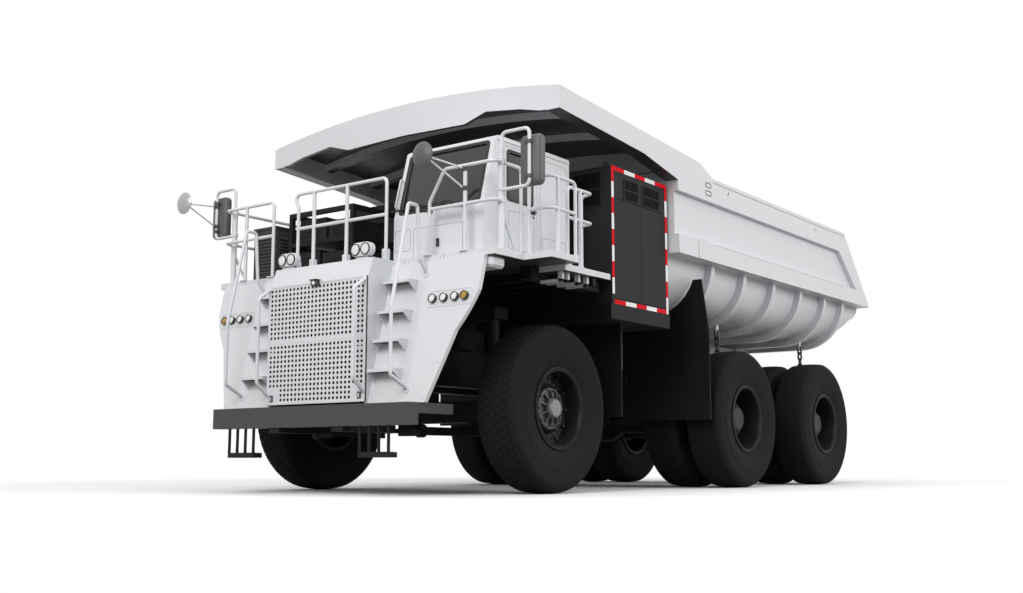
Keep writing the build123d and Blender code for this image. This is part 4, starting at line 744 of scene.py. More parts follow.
def stripes():
    """The red and white frame round each side face of the cabinet."""
    shape = Shape(red, pale)
    wide = 0.056
    thick = 0.002
    gap = 0.003
    upright_cells = 8
    level_cells = 5
    near, far = CABINET_FRONT + gap, CABINET_BACK - gap
    bottom, top = CABINET_LOW + gap, CABINET_HIGH - gap
    runs = []
    for y, low in ((near, CABINET_LOW + 0.13), (far - wide, bottom)):
        tall = (top - low) / upright_cells
        for k in range(upright_cells):
            runs.append(((y, y + wide), (top - (k + 1) * tall, top - k * tall), k))
    start = near + wide
    long = (far - wide - start) / level_cells
    for z in ((top - wide, top), (bottom, bottom + wide)):
        for k in range(level_cells):
            runs.append(((start + k * long, start + (k + 1) * long), z, k))
    for sign in SIGNS:
        x = sorted((sign * CABINET_X, sign * (CABINET_X + thick)))
        for y, z, k in runs:
            shape.box(x, y, z, (red, pale)[k % 2], 0.0004)
    piece("cabinet_stripes", shape, "chassis")


stripes()


# Lamps

RAKE = 0.390 / 1.650
FASCIA_Y = FRONT - 1.950
FASCIA_LOW = 1.050
LAMP_Z = 2.225
LAMP_FACE = (0, -1, RAKE)
LAMP_STEPS = 40


def fascia_y(z):
    """The raked front panel's place along the truck at a height."""
    return FASCIA_Y + RAKE * (z - FASCIA_LOW)


def round_lamp(shape, x, lens):
    """A dark bezel, a bright bowl and a domed lens on the raked panel."""
    place = aimed((x, fascia_y(LAMP_Z), LAMP_Z), LAMP_FACE)
    rim = [(0.0, 0.050), (0.040, 0.052), (0.046, 0.0505), (0.046, 0.0475), (0.030, 0.046), (0.0, 0.046)]
    shape.turn(rim, LAMP_STEPS, bezel, place)
    bowl = [(0.004, 0.0), (0.006, 0.012), (0.028, 0.041), (0.026, 0.0412), (0.002, 0.014), (0.0, 0.0)]
    shape.cap(bowl, LAMP_STEPS, reflector, place)
    dome = [(0.030, 0.0), (0.030, 0.0459), (0.038, 0.042), (0.043, 0.025), (0.045, 0.0)]
    shape.cap(dome, LAMP_STEPS, lens, place)


def front_lamps():
    """The round lamps on the raked panels, three clear and one amber a side."""
    clear_lamps, amber_lamps = Shape(bezel, clear, reflector), Shape(bezel, amber, reflector)
    for sign in SIGNS:
        for x in (1.574, 1.738, 1.901):
            round_lamp(clear_lamps, sign * x, clear)
        round_lamp(amber_lamps, sign * 2.043, amber)
    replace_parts(piece("front_lamps", clear_lamps, "chassis"), "headlamps")
    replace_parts(piece("side_lamps", amber_lamps, "chassis"), "turn_lamps")


def hood_lamps():
    """A twin lamp in a rounded housing at each side of the hood."""
    shape = Shape(bezel, clear, white)
    face = FRONT - 1.913
    z = 2.873
    foot_z = (2.763, 2.781)
    rim = [(-0.004, 0.062), (-0.004, 0.073), (0.012, 0.073), (0.017, 0.069), (0.017, 0.064), (0.004, 0.060)]
    dome = [(0.0, 0.0), (0.0, 0.063), (0.010, 0.060), (0.014, 0.034), (0.015, 0.0)]
    for sign in SIGNS:
        middle = sign * 0.635
        loops = []
        for depth, inset in ((0.0, 0.008), (0.008, 0.0), (0.080, 0.0), (0.100, 0.030)):
            size = (0.330 - 2 * inset, 0.168 - 2 * inset, 0.078 - inset)
            loops.append(panel(*size, (middle, face + depth, z)))
        shape.loft(loops, white)
        shape.box(about(middle, 0.10), (face + 0.02, face + 0.09), foot_z, white)
        for x in about(middle, 0.08):
            place = aimed((x, face, z), AHEAD)
            shape.turn(rim, LAMP_STEPS, bezel, place)
            shape.cap(dome, LAMP_STEPS, clear, place)
            shape.box(about(x, 0.020), (face + 0.03, face + 0.08), (2.775, 2.800))
            shape.bolt((x, face + 0.055, foot_z[1]), UP, LARGE_BOLT)
    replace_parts(piece("hood_lamps", shape, "chassis"), "work_lamps")


front_lamps()
hood_lamps()


# Grille, raked panels and steps

GRILLE_Y = FRONT - 2.004
GRILLE_HALF = 0.833
GRILLE_LOW = 1.066
GRILLE_TALL = 1.466


def grille_fittings():
    """The grille's border, the dimples of its blank row, corner latches and a small hooded lamp."""
    shape = Shape(white, bezel, steel, clear)
    plane = ((0, GRILLE_Y, GRILLE_LOW + GRILLE_TALL / 2), ACROSS, UP)
    shape.border(2 * GRILLE_HALF, GRILLE_TALL, 0.006, (0.004, 0.044), plane, (0, -0.005, 0))
    dimple_pitch = 0.06442
    dimple_z = 1.828
    for column in range(25):
        at = (column * dimple_pitch - GRILLE_HALF + 0.06, GRILLE_Y, dimple_z)
        shape.stud(at, AHEAD, 0.019, 0.017, 0.003, 16)
    for sign in SIGNS:
        latch_x = sign * 0.745
        shape.box(about(latch_x, 0.030), (GRILLE_Y - 0.010, GRILLE_Y), (1.105, 1.185), bezel, 0.004)
        shape.box(about(latch_x, 0.012), (GRILLE_Y - 0.018, GRILLE_Y - 0.008), (1.115, 1.165), steel)
        for z in (1.70, 2.10):
            shape.box(about(latch_x, 0.045), (GRILLE_Y - 0.004, GRILLE_Y), about(z, 0.010), soft=0.002)
    lamp_face = GRILLE_Y - 0.050
    hood_low = 2.545
    shape.box(about(0, 0.060), (lamp_face, GRILLE_Y + 0.01), (2.480, hood_low), bezel, 0.010)
    shape.box(about(0, 0.068), (GRILLE_Y - 0.075, GRILLE_Y + 0.01), (hood_low, 2.553), bezel, 0.002)
    lens = [(0.0, 0.026), (0.008, 0.022), (0.010, 0.0)]
    shape.cap(lens, 24, clear, aimed((0, lamp_face, 2.512), AHEAD))
    piece("grille_fittings", shape, "chassis")


def panel_fittings():
    """On each raked panel: the lamp plate's seam and bolts, edge bolts and the ladder rails' flanges."""
    shape = Shape(white)
    slope = Vector((0, RAKE, 1)).normalized()
    out = Vector(LAMP_FACE).normalized()
    for sign in SIGNS:
        middle = Vector((sign * 1.808, fascia_y(LAMP_Z), LAMP_Z))
        shape.border(0.68, 0.20, 0.05, (0.0, 0.016), (middle, ACROSS, slope), out * 0.005)
        for across in (-0.31, -0.155, 0.0, 0.155, 0.31):
            for up in (-0.082, 0.082):
                shape.bolt(middle + Vector((across, 0, 0)) + slope * up, out, 0.006)
        for z in (1.15, 1.45, 1.75, 2.05, 2.35, 2.62):
            shape.bolt((sign * 0.865, fascia_y(z), z), out, BOLT)
        for z in (1.19, 2.55):
            shape.flange((sign * 1.392, fascia_y(z), z), out, 0.048, 0.046, 0.010, 0.021, 24)
        for low in (1.045, 1.45):
            across = 1.69 + (low - 1.035) * 0.352
            shape.bolt((sign * (across - 0.04), fascia_y(low + 0.04), low + 0.04), out, LARGE_BOLT)
    piece("panel_fittings", shape, "chassis")


def step_treads():
    """Raised studs on every tread of the ladders, and bolts in the toe plates behind them."""
    shape = Shape(white)
    for sign in SIGNS:
        for top in (1.430, 1.777, 2.119, 2.480):
            front = fascia_y(top) - 0.168
            for row in range(3):
                for column in range(9):
                    at = (sign * (0.915 + 0.0425 * column), front + 0.035 + 0.05 * row, top)
                    shape.stud(at, UP, 0.012, 0.009, 0.005, 8)
            bolt_z = top - 0.09
            for x in (0.90, 1.27):
                shape.bolt((sign * x, fascia_y(bolt_z) - 0.002, bolt_z), LAMP_FACE, BOLT)
    piece("step_treads", shape, "chassis")


def bumper_fittings():
    """Studs on the treads of the steps that hang from the bumper, and the bolts of their bars."""
    shape = Shape(black)
    face = FRONT - 2.158
    tread_z = 0.490
    for sign in SIGNS:
        for column in range(10):
            for row in range(3):
                at = (sign * (0.92 + 0.043 * column), face + 0.04 + 0.04 * row, tread_z)
                shape.stud(at, UP, 0.010, 0.007, 0.005, 8)
        for x in (0.894, 1.034, 1.196, 1.336):
            for z in (0.52, 0.74):
                shape.bolt((sign * x, face + 0.010, z), AHEAD, SMALL_BOLT)
    piece("bumper_fittings", shape, "chassis")


grille_fittings()
panel_fittings()
step_treads()
bumper_fittings()


# Deck and rails

DECK_TOP = 2.771
DECK_LOW = 2.696
DECK_HALF = 2.348
DECK_FRONT = FRONT - 1.530
WALKWAY_TOP = 2.701
RAIL_X = (1.355, 1.893)
RAIL_Y = DECK_FRONT + 0.026
POST_Y = FRONT - 1.360
POST_X = 2.310


def rail_feet():
    """A bolted foot under every rail post, sockets on the hood and clamps at the mirror posts."""
    shape = Shape(white)
    deck_feet = [(-x, RAIL_Y) for x in RAIL_X] + [(-2.322, FRONT - 0.330), (-2.322, FRONT + 0.783)]
    deck_feet += [(x, RAIL_Y) for x in RAIL_X] + [(2.322, FRONT - 1.000), (-POST_X, POST_Y), (POST_X, POST_Y)]
    landing_feet = [(2.719, FRONT - 0.819), (2.719, FRONT - 0.456)]
    walkway_feet = [(2.549, FRONT - 0.370), (2.549, FRONT - 0.098), (2.388, FRONT + 0.174)]
    half = 0.055
    thick = 0.012
    inset = 0.014
    for feet, z, edge in (
        (deck_feet, DECK_TOP, 2.346), (landing_feet, DECK_TOP, 2.743), (walkway_feet, WALKWAY_TOP, 2.573)
    ):
        for x, y in feet:
            low, high = max(x - half, -edge), min(x + half, edge)
            shape.box((low, high), about(y, half), (z, z + thick), soft=0.002)
            for across in (low + inset, high - inset):
                for along in about(y, 0.041):
                    shape.bolt((across, along, z + thick), UP, SMALL_BOLT)
    socket_y = FRONT - 1.613
    socket_half = 0.036
    for x in (-0.765, -0.480, 0.100, 0.765):
        shape.box(about(x, socket_half), about(socket_y, socket_half), (2.763, 2.905), soft=0.004)
        shape.bolt((x, socket_y - socket_half, 2.87), AHEAD, LARGE_BOLT)
    clamp_radius = 0.047
    for sign in SIGNS:
        for z in (3.331, 3.470, 3.782):
            shape.collar((sign * POST_X, POST_Y, z), UP, 0.037, clamp_radius, 0.055)
            shape.bolt((sign * POST_X, POST_Y - clamp_radius, z), AHEAD, BOLT)
        shape.collar((sign * POST_X, POST_Y, 3.825), UP, 0.020, 0.044, 0.016)
    piece("rail_feet", shape, "chassis")


def tread_bar(shape, x, y, odd):
    """One short bar of the deck's raised tread, turned one way or the other."""
    turn = Matrix.Translation((x, y, DECK_TOP)) @ Matrix.Rotation(pi / 4 * (1 if odd else -1), 4, "Z")
    shape.box(about(0, 0.022), about(0, 0.006), (-0.002, 0.004), soft=0.002, place=turn)


def deck_fittings():
    """Seams and bolts along the deck's edge, a raised tread on its top and dark beams under it."""
    shape = Shape(white, seal, black)
    bolt_z = 2.733
    for x in (-1.85, -1.20, 1.00, 1.60):
        shape.box(about(x, 0.002), (DECK_FRONT - 0.001, DECK_FRONT), (DECK_LOW, DECK_TOP), seal, 0.0003)
        for near in (-0.05, 0.05):
            shape.bolt((x + near, DECK_FRONT, bolt_z), AHEAD, BOLT)
    for y in (FRONT - 1.1, FRONT - 0.60, FRONT - 0.05, FRONT + 0.5):
        for sign in SIGNS:
            x = 2.745 if sign > 0 and FRONT - 0.985 < y < FRONT - 0.43 else DECK_HALF
            shape.bolt((sign * x, y, bolt_z), (sign, 0, 0), BOLT)
    tread_x = 0.082
    tread_y = 0.085
    for row in range(11):
        for column in range(34):
            x, y = -2.20 + column * tread_x, FRONT - 1.40 + row * tread_y
            blocked = -2.24 < x < -1.65 and y > FRONT - 1.20
            if abs(x) > 0.2 and x < 0.55 and not blocked:
                tread_bar(shape, x, y, (row + column) % 2)
    for row in range(5):
        for column in range(4):
            tread_bar(shape, 2.42 + column * tread_x, FRONT - 0.90 + row * tread_y, (row + column) % 2)
    for sign in SIGNS:
        long_beam, cross_beam = sorted((sign * 2.02, sign * 2.20)), sorted((sign * 0.70, sign * 2.30))
        shape.box(long_beam, (FRONT - 0.62, FRONT + 0.86), (2.54, DECK_LOW), black, 0.006)
        for y in (FRONT - 0.20, FRONT + 0.20, FRONT + 0.60):
            shape.box(cross_beam, about(y, 0.04), (2.59, DECK_LOW), black, 0.005)
        corner_box = sorted((sign * 1.98, sign * 2.28))
        shape.box(corner_box, (DECK_FRONT + 0.03, DECK_FRONT + 0.29), (2.56, DECK_LOW), soft=0.03)
    bracket_low = 2.50
    for y in (FRONT - 0.40, FRONT - 0.28, FRONT - 0.05, FRONT + 0.14):
        shape.box((2.44, 2.50), about(y, 0.022), (bracket_low, 2.626))
        shape.box((2.18, 2.50), about(y, 0.022), (bracket_low, 2.54))
    piece("deck_fittings", shape, "chassis")


rail_feet()
deck_fittings()


# Mirrors

HOOP_X = 2.705
MIRROR_STEPS = 56


def mirror_housing(shape, sign):
    """A tall rounded housing behind the hoop's outer tube, its glass at the back and two clamps."""
    front = POST_Y + 0.021
    x, z = sign * 2.690, 3.765
    loops = []
    for depth, inset in (
        (0.0, 0.040), (0.012, 0.018), (0.035, 0.004), (0.060, 0.0), (0.098, 0.003), (0.110, 0.012)
    ):
        size = (0.300 - 2 * inset, 0.590 - 2 * inset, 0.060 - 0.5 * inset)
        loops.append(panel(*size, (x, front + depth, z)))
    shape.loft(loops)
    shape.prism(panel(0.262, 0.552, 0.045, (x, front + 0.1105, z)), (0, 0.002, 0), silver)
    shape.prism(panel(0.016, 0.48, 0.007, (x + sign * 0.035, front, z)), (0, -0.006, 0), soft=0.002)
    hoop = sign * HOOP_X
    clamp_face = POST_Y + 0.008
    for z in (3.565, 3.965):
        shape.collar((hoop, POST_Y, z), UP, 0.0205, 0.030, 0.046, casting)
        arm = sorted((hoop, hoop - sign * 0.075))
        shape.box(arm, (clamp_face, POST_Y + 0.030), about(z, 0.018), casting)
        shape.bolt((hoop - sign * 0.060, clamp_face, z), AHEAD, BOLT, casting)


def round_mirror(shape, centre, feet, post_y, post_radius, shell):
    """A domed round mirror facing back, on two rods clamped to a post."""
    place = aimed(centre, BACK)
    back = [(0.0, 0.0), (0.006, 0.060), (0.022, 0.110), (0.044, 0.142), (0.052, 0.150), (0.060, 0.148)]
    shape.cap(back + [(0.060, 0.140), (0.056, 0.0)], MIRROR_STEPS, shell, place)
    glass_face = [(0.056, 0.0), (0.056, 0.141), (0.062, 0.130), (0.070, 0.080), (0.074, 0.0)]
    shape.cap(glass_face, MIRROR_STEPS, silver, place)
    hub = Vector(centre) + Vector((0, 0.074, 0))
    shape.cap([(0.070, 0.034), (0.090, 0.026), (0.100, 0.0)], 24, white, place)
    for foot in feet:
        x, y, z = foot
        shape.tube([hub, foot], 0.011, 12, white)
        shape.collar((x, post_y, z), UP, post_radius - 0.0005, post_radius + 0.011, 0.050, casting)
        shape.box(about(x, 0.020), (y - 0.016, post_y - post_radius), about(z, 0.022), casting, 0.004)


def mirrors():
    """The tall mirrors on both hoops and the two round ones ahead of them."""
    shape = Shape(mirror_grey, silver, white, casting, dome_grey)
    for sign in SIGNS:
        mirror_housing(shape, sign)
    right_feet = [(-HOOP_X, POST_Y - 0.036, z) for z in (3.640, 3.920)]
    round_mirror(shape, (-2.690, FRONT - 1.984, 3.870), right_feet, POST_Y, 0.021, dome_grey)
    left_feet = [(RAIL_X[1], RAIL_Y - 0.039, z) for z in (3.510, 3.740)]
    round_mirror(shape, (1.690, FRONT - 2.080, 3.831), left_feet, RAIL_Y, 0.024, mirror_grey)
    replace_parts(piece("mirror_set", shape, "chassis"), "mirrors")


mirrors()


# Cab

CAB_LEFT = 2.030
CAB_RIGHT = 0.640
CAB_MIDDLE = 1.335
CAB_NOSE = FRONT - 1.340
CAB_TAIL = FRONT + 0.440
GUTTER_Z = (4.168, 4.186)
WINDOW_Z = 3.7775
WINDOW_TALL = 0.585
SCREEN_UP = Vector((0, 0.230, 0.860)).normalized()
SCREEN_OUT = Vector((0, -0.860, 0.230)).normalized()
SCREEN = Vector((CAB_MIDDLE, FRONT - 1.225, 3.760))


def gasket(shape, plane, out, width, height):
    """A rubber frame lapped over the edge of a window."""
    shape.border(width, height, 0.055, (-0.050, 0.024), plane, Vector(out) * 0.006, seal)


def seam(shape, plane, out, width, height, corner=0.03):
    """A fine dark line that marks the edge of a panel or hatch."""
    shape.border(width, height, corner, (-0.004, 0.004), plane, Vector(out) * 0.0012, seam_grey)


def screen_point(across, up, out):
    """A point by its place on the windscreen and its height off it."""
    return SCREEN + Vector((across, 0, 0)) + SCREEN_UP * up + SCREEN_OUT * out


def wiper(shape, across, reach):
    """A wiper resting low on the windscreen: pivot, arm and blade."""
    pivot_up = -0.435
    boss = [(0.0, 0.0), (0.0, 0.024), (0.026, 0.018), (0.030, 0.0)]
    shape.cap(boss, 20, seal, aimed(screen_point(across, pivot_up, 0.0), SCREEN_OUT))
    knee = screen_point(across + 0.35 * reach, -0.395, 0.034)
    tip = screen_point(across + reach, -0.330, 0.026)
    shape.tube([screen_point(across, pivot_up, 0.022), knee, tip], 0.008, 10, seal)
    blade_out = 0.014
    low_end = screen_point(across + reach - 0.26, -0.352, blade_out)
    high_end = screen_point(across + reach + 0.22, -0.318, blade_out)
    shape.tube([low_end, high_end], 0.009, 8, seal)


def cab_fittings():
    """Window gaskets, wipers, hatches, panel seams, a roof gutter, sill bolts and a grab handle."""
    shape = Shape(white, seal, casting, seam_grey)
    gasket(shape, (SCREEN, ACROSS, SCREEN_UP), SCREEN_OUT, 1.22, 0.78)
    gasket(shape, ((CAB_RIGHT, FRONT - 0.34, WINDOW_Z), BACK, UP), (-1, 0, 0), 1.16, WINDOW_TALL)
    gasket(shape, ((CAB_MIDDLE, CAB_TAIL, WINDOW_Z), ACROSS, UP), BACK, 0.99, WINDOW_TALL)
    wiper(shape, 0.42, -0.46)
    wiper(shape, -0.10, -0.40)
    for low, high, bottom, top in ((0.662, 0.907, 2.910, 3.168), (0.960, 1.723, 2.790, 3.170)):
        plane = (((low + high) / 2, CAB_NOSE, (bottom + top) / 2), ACROSS, UP)
        seam(shape, plane, AHEAD, high - low, top - bottom)
    shape.box((1.322, 1.368), (CAB_NOSE - 0.012, CAB_NOSE), (2.910, 3.010), seal, 0.005)
    shape.box((1.332, 1.358), (CAB_NOSE - 0.020, CAB_NOSE - 0.010), (2.925, 2.975), casting, 0.004)
    for x in (0.72, 1.05, 1.38, 1.68, 1.95):
        shape.bolt((x, CAB_NOSE, 3.245), AHEAD, SMALL_BOLT)
    side_y = FRONT + 0.095
    seam(shape, ((CAB_LEFT, side_y, 3.47), BACK, UP), ACROSS, 0.60, 1.26, 0.09)
    seam(shape, ((CAB_LEFT, side_y, 3.00), BACK, UP), ACROSS, 0.52, 0.24)
    for y in (FRONT - 0.15, FRONT + 0.34):
        for z in (2.90, 3.10, 4.04):
            shape.bolt((CAB_LEFT, y, z), ACROSS, SMALL_BOLT)
    for y in (FRONT - 1.24, FRONT - 1.05, FRONT - 0.16, FRONT + 0.12, FRONT + 0.36):
        shape.bolt((CAB_LEFT, y, 2.795), ACROSS, 0.009)
    gutter = 0.012
    for x in (CAB_LEFT, CAB_RIGHT - gutter):
        shape.box((x, x + gutter), (FRONT - 1.08, CAB_TAIL), GUTTER_Z)
    shape.box((CAB_RIGHT, CAB_LEFT), (CAB_TAIL, CAB_TAIL + gutter), GUTTER_Z)
    bar_low, bar_high = screen_point(-0.655, -0.32, 0.0), screen_point(-0.655, 0.06, 0.0)
    lift = SCREEN_OUT * 0.062
    shape.tube(bent([bar_low, bar_low + lift, bar_high + lift, bar_high], 0.03), 0.012, 12)
    for foot in (bar_low, bar_high):
        shape.flange(foot, SCREEN_OUT, 0.026, 0.024, 0.008, 0.011, 20)
    shape.stud((CAB_MIDDLE, FRONT - 0.30, 4.225), UP, 0.070, 0.068, 0.014, 32, seal)
    piece("cab_fittings", shape, "chassis")


def door_fittings():
    """The cab door's window gasket, handle, lock and panel seam."""
    shape = Shape(seam_grey, seal, casting)
    gasket(shape, ((CAB_LEFT, FRONT - 0.623, WINDOW_Z), BACK, UP), ACROSS, 0.494, WINDOW_TALL)
    seam(shape, ((CAB_LEFT, FRONT - 0.598, 3.12), BACK, UP), ACROSS, 0.52, 0.46, 0.05)
    shape.box((CAB_LEFT, CAB_LEFT + 0.006), (FRONT - 0.440, FRONT - 0.310), (3.375, 3.435), seal, 0.002)
    handle_out = CAB_LEFT + 0.036
    handle_front, handle_back, handle_z = FRONT - 0.425, FRONT - 0.325, 3.405
    path = [(CAB_LEFT, handle_front, handle_z), (handle_out, handle_front, handle_z)]
    path += [(handle_out, handle_back, handle_z), (CAB_LEFT, handle_back, handle_z)]
    shape.tube(bent(path, 0.02), 0.009, 12, casting)
    shape.stud((CAB_LEFT, FRONT - 0.345, 3.34), ACROSS, 0.016, 0.014, 0.006, 20, casting)
    piece("door_fittings", shape, "cab_door")


SEAT_X = (CAB_LEFT + CAB_RIGHT) / 2
SEAT_Y = FRONT - 0.350
SEAT_FLOOR = 2.821


def cushion(name, low, high, crown):
    """A crowned pad with sewn channels, its sides pulled in between the corners; crown is its face's axis."""
    seat_at = Vector((SEAT_X, SEAT_Y, SEAT_FLOOR))
    low, high = seat_at + Vector(low), seat_at + Vector(high)
    middle, half = (low + high) / 2, (high - low) / 2
    made = bmesh.new()
    bmesh.ops.create_cube(made, size=2.0)
    bmesh.ops.subdivide_edges(made, edges=made.edges[:], cuts=14, use_grid_fill=True)
    for vert in made.verts:
        unit = vert.co.copy()
        for axis in range(3):
            side, other = [unit[i] for i in range(3) if i != axis]
            if axis == crown:
                channels = sum(exp(-(((side - spot) / 0.07) ** 2)) for spot in (-0.45, 0.45))
                share = 0.74 + 0.26 * sqrt((1 - side**4) * (1 - other**4)) - 0.07 * channels
            else:
                share = 1.0 - 0.05 * (1 - max(abs(side), abs(other)) ** 2)
            vert.co[axis] = middle[axis] + half[axis] * unit[axis] * share
    shape = Shape(cloth)
    shape.take(made)
    pad = piece(name, shape, "chassis", 180)
    smoother = pad.modifiers.new("smooth", "SUBSURF")
    smoother.levels = smoother.render_levels = 1


def seat():
    """The driver's seat: pedestal with bellows, pan, back frame and three padded cushions."""
    shape = Shape(seal, plastic)
    base_tall = 0.06
    fold = 0.046
    floor = SEAT_FLOOR
    shape.box(about(SEAT_X, 0.17), about(SEAT_Y, 0.19), (floor, floor + base_tall), plastic, 0.008)
    for k in range(5):
        z = floor + base_tall + fold * k
        loops = []
        for lift, inset in ((0.0, 0.03), (fold / 2, 0.008), (fold, 0.03)):
            size = (0.34 - 2 * inset, 0.38 - 2 * inset, 0.04)
            loops.append(panel(*size, (SEAT_X, SEAT_Y, z + lift), ACROSS, BACK))
        shape.loft(loops)
    pan_z = (floor + 0.29, floor + 0.335)
    shape.box(about(SEAT_X, 0.23), (SEAT_Y - 0.23, SEAT_Y + 0.20), pan_z, plastic, 0.01)
    back_z = (floor + 0.34, floor + 1.02)
    shape.box(about(SEAT_X, 0.20), (SEAT_Y + 0.262, SEAT_Y + 0.296), back_z, plastic, 0.012)
    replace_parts(piece("seat_frame", shape, "chassis"), "cab_seat")
    cushion("seat_cushion", (-0.25, -0.25, 0.335), (0.25, 0.17, 0.45), 2)
    cushion("seat_back", (-0.24, 0.18, 0.46), (0.24, 0.262, 0.88), 1)
    cushion("seat_headrest", (-0.15, 0.185, 0.90), (0.15, 0.262, 1.08), 1)


cab_fittings()
door_fittings()
seat()


# Boxes on the right deck

LOUVRE_X = (-2.167, -1.725)
LOUVRE_Y = (FRONT - 1.127, FRONT - 0.480)


def louvres(shape, x, y, across, out, width):
    """Rows of sloping slats that stand off a wall."""
    low, high = 2.87, 3.48
    pitch = 0.047
    depth = 0.020
    across, out = Vector(across), Vector(out)
    middle = Vector((x, y, 3.16))
    web = [(0.0, pitch * 0.40), (depth, -pitch * 0.22), (depth, -pitch * 0.34), (0.0, -pitch * 0.20)]
    for row in range(int((high - low) / pitch)):
        z = low + pitch * (row + 0.5) - middle.z
        start = middle - across * (width / 2) + Vector((0, 0, z))
        loop = [start + out * reach + Vector((0, 0, rise)) for reach, rise in web]
        shape.prism(loop, across * width)


def louvred_box():
    """Louvres on two faces of the box, a lid and corner bolts."""
    shape = Shape(louvre_paint, casting)
    louvres(shape, sum(LOUVRE_X) / 2, LOUVRE_Y[0], ACROSS, AHEAD, 0.36)
    louvres(shape, LOUVRE_X[1], sum(LOUVRE_Y) / 2, BACK, ACROSS, 0.54)
    lap = 0.012
    lid_x, lid_y = [(low - lap, high + lap) for low, high in (LOUVRE_X, LOUVRE_Y)]
    shape.box(lid_x, lid_y, (3.535, 3.572), soft=0.005)
    for x in (LOUVRE_X[0] + 0.02, LOUVRE_X[1] - 0.02):
        for z in (2.83, 3.16, 3.50):
            shape.bolt((x, LOUVRE_Y[0], z), AHEAD, BOLT, casting)
    piece("louvred_box", shape, "chassis")


def rack_units():
    """Shelves, boxed units with small fixings, and cable runs in the open rack."""
    shape = Shape(black, cabinet, casting)
    low_y, high_y = FRONT - 1.06, FRONT - 0.16
    unit_face = low_y + 0.06
    shelf = 0.02
    inset = 0.03
    low_shelf, high_shelf = 2.785, 3.255
    for z in (low_shelf, high_shelf):
        shape.box((-1.48, -0.32), (low_y, high_y), (z, z + shelf))
    low_units = ((-1.41, 0.40, 2.805, 0.38), (-0.96, 0.55, 2.805, 0.33))
    high_units = ((-1.40, 0.50, 3.275, 0.34), (-0.85, 0.42, 3.275, 0.28))
    for x, wide, z, tall in low_units + high_units:
        shape.box((x, x + wide), (unit_face, high_y - 0.10), (z, z + tall), cabinet, 0.012)
        for across in (x + inset, x + wide - inset):
            for up in (z + inset, z + tall - inset):
                shape.bolt((across, unit_face, up), AHEAD, SMALL_BOLT, casting)
        for k in range(5):
            up = z + tall * (0.30 + 0.10 * k)
            slot_x = (x + 0.09, x + wide - 0.09)
            shape.box(slot_x, (low_y + 0.054, low_y + 0.061), (up, up + 0.010), soft=0.001)
    for x in (-1.20, -1.08, -0.70, -0.58):
        run = [(x, low_y + 0.10, 3.13), (x, low_y + 0.03, 3.20)]
        run += [(x + 0.02, low_y + 0.03, 3.30), (x + 0.02, low_y + 0.08, 3.36)]
        shape.tube(bent(run, 0.04), 0.014, 12)
    piece("rack_units", shape, "chassis")


louvred_box()
rack_units()


# Battery cabinet's vents and fittings

def slat_vent(shape, middle, across, out, width, height):
    """A framed vent with upright slats and a bar across its middle, over a near-black sheet that is painted
    shade.
    """
    middle, across, out = Vector(middle), Vector(across), Vector(out)
    plane = (middle, across, UP)
    # Painted shade: a near-black sheet just proud of the wall, standing in for the dark inside of the vent.
    shape.prism(panel(width - 0.03, height - 0.03, 0.006, *plane), out * 0.0015, vent_shade_sheet)
    shape.border(width, height, 0.008, (0.0, 0.036), plane, out * 0.010)
    inner = width - 0.04
    count = int(inner / 0.028)
    pitch = inner / count
    half = 0.004
    reach = height / 2 - 0.012
    for k in range(count):
        spot = middle + across * (pitch * (k + 0.5) - inner / 2)
        corners = ((-half, -reach), (half, -reach), (half, reach), (-half, reach))
        loop = [spot + across * x + Vector(UP) * z for x, z in corners]
        shape.prism(loop, out * 0.007)
    shape.prism(panel(width - 0.03, 0.018, 0.004, *plane), out * 0.011)


def cabinet_fittings():
    """Vents on the cabinet's sides and front, and lifting eyes on its roof."""
    shape = Shape(cabinet, vent_shade_sheet)
    eye_points = 10
    eye_bar = 0.009
    turns = [tau * k / eye_points for k in range(eye_points)]
    eye = [(eye_bar * cos(t), 0.035 + eye_bar * sin(t)) for t in turns]
    for sign in SIGNS:
        for low, high in ((1.240, 1.620), (1.720, 2.175)):
            middle = (sign * CABINET_X, FRONT + (low + high) / 2, 3.950)
            slat_vent(shape, middle, BACK, (sign, 0, 0), high - low, 0.300)
        eye_x = sign * 2.20
        for y in (CABINET_FRONT + 0.13, CABINET_BACK - 0.13):
            shape.box(about(eye_x, 0.05), about(y, 0.05), (CABINET_HIGH, CABINET_HIGH + 0.012))
            shape.turn(eye, 24, place=Matrix.Translation((eye_x, y, CABINET_HIGH + 0.040)))
    for low, high, bottom, top in ((1.750, 2.210, 3.690, 4.170), (-2.000, -1.615, 3.870, 4.090)):
        middle = ((low + high) / 2, CABINET_FRONT, (bottom + top) / 2)
        slat_vent(shape, middle, ACROSS, AHEAD, high - low, top - bottom)
    piece("cabinet_fittings", shape, "chassis")


cabinet_fittings()


# Bed

BED_X = 2.520


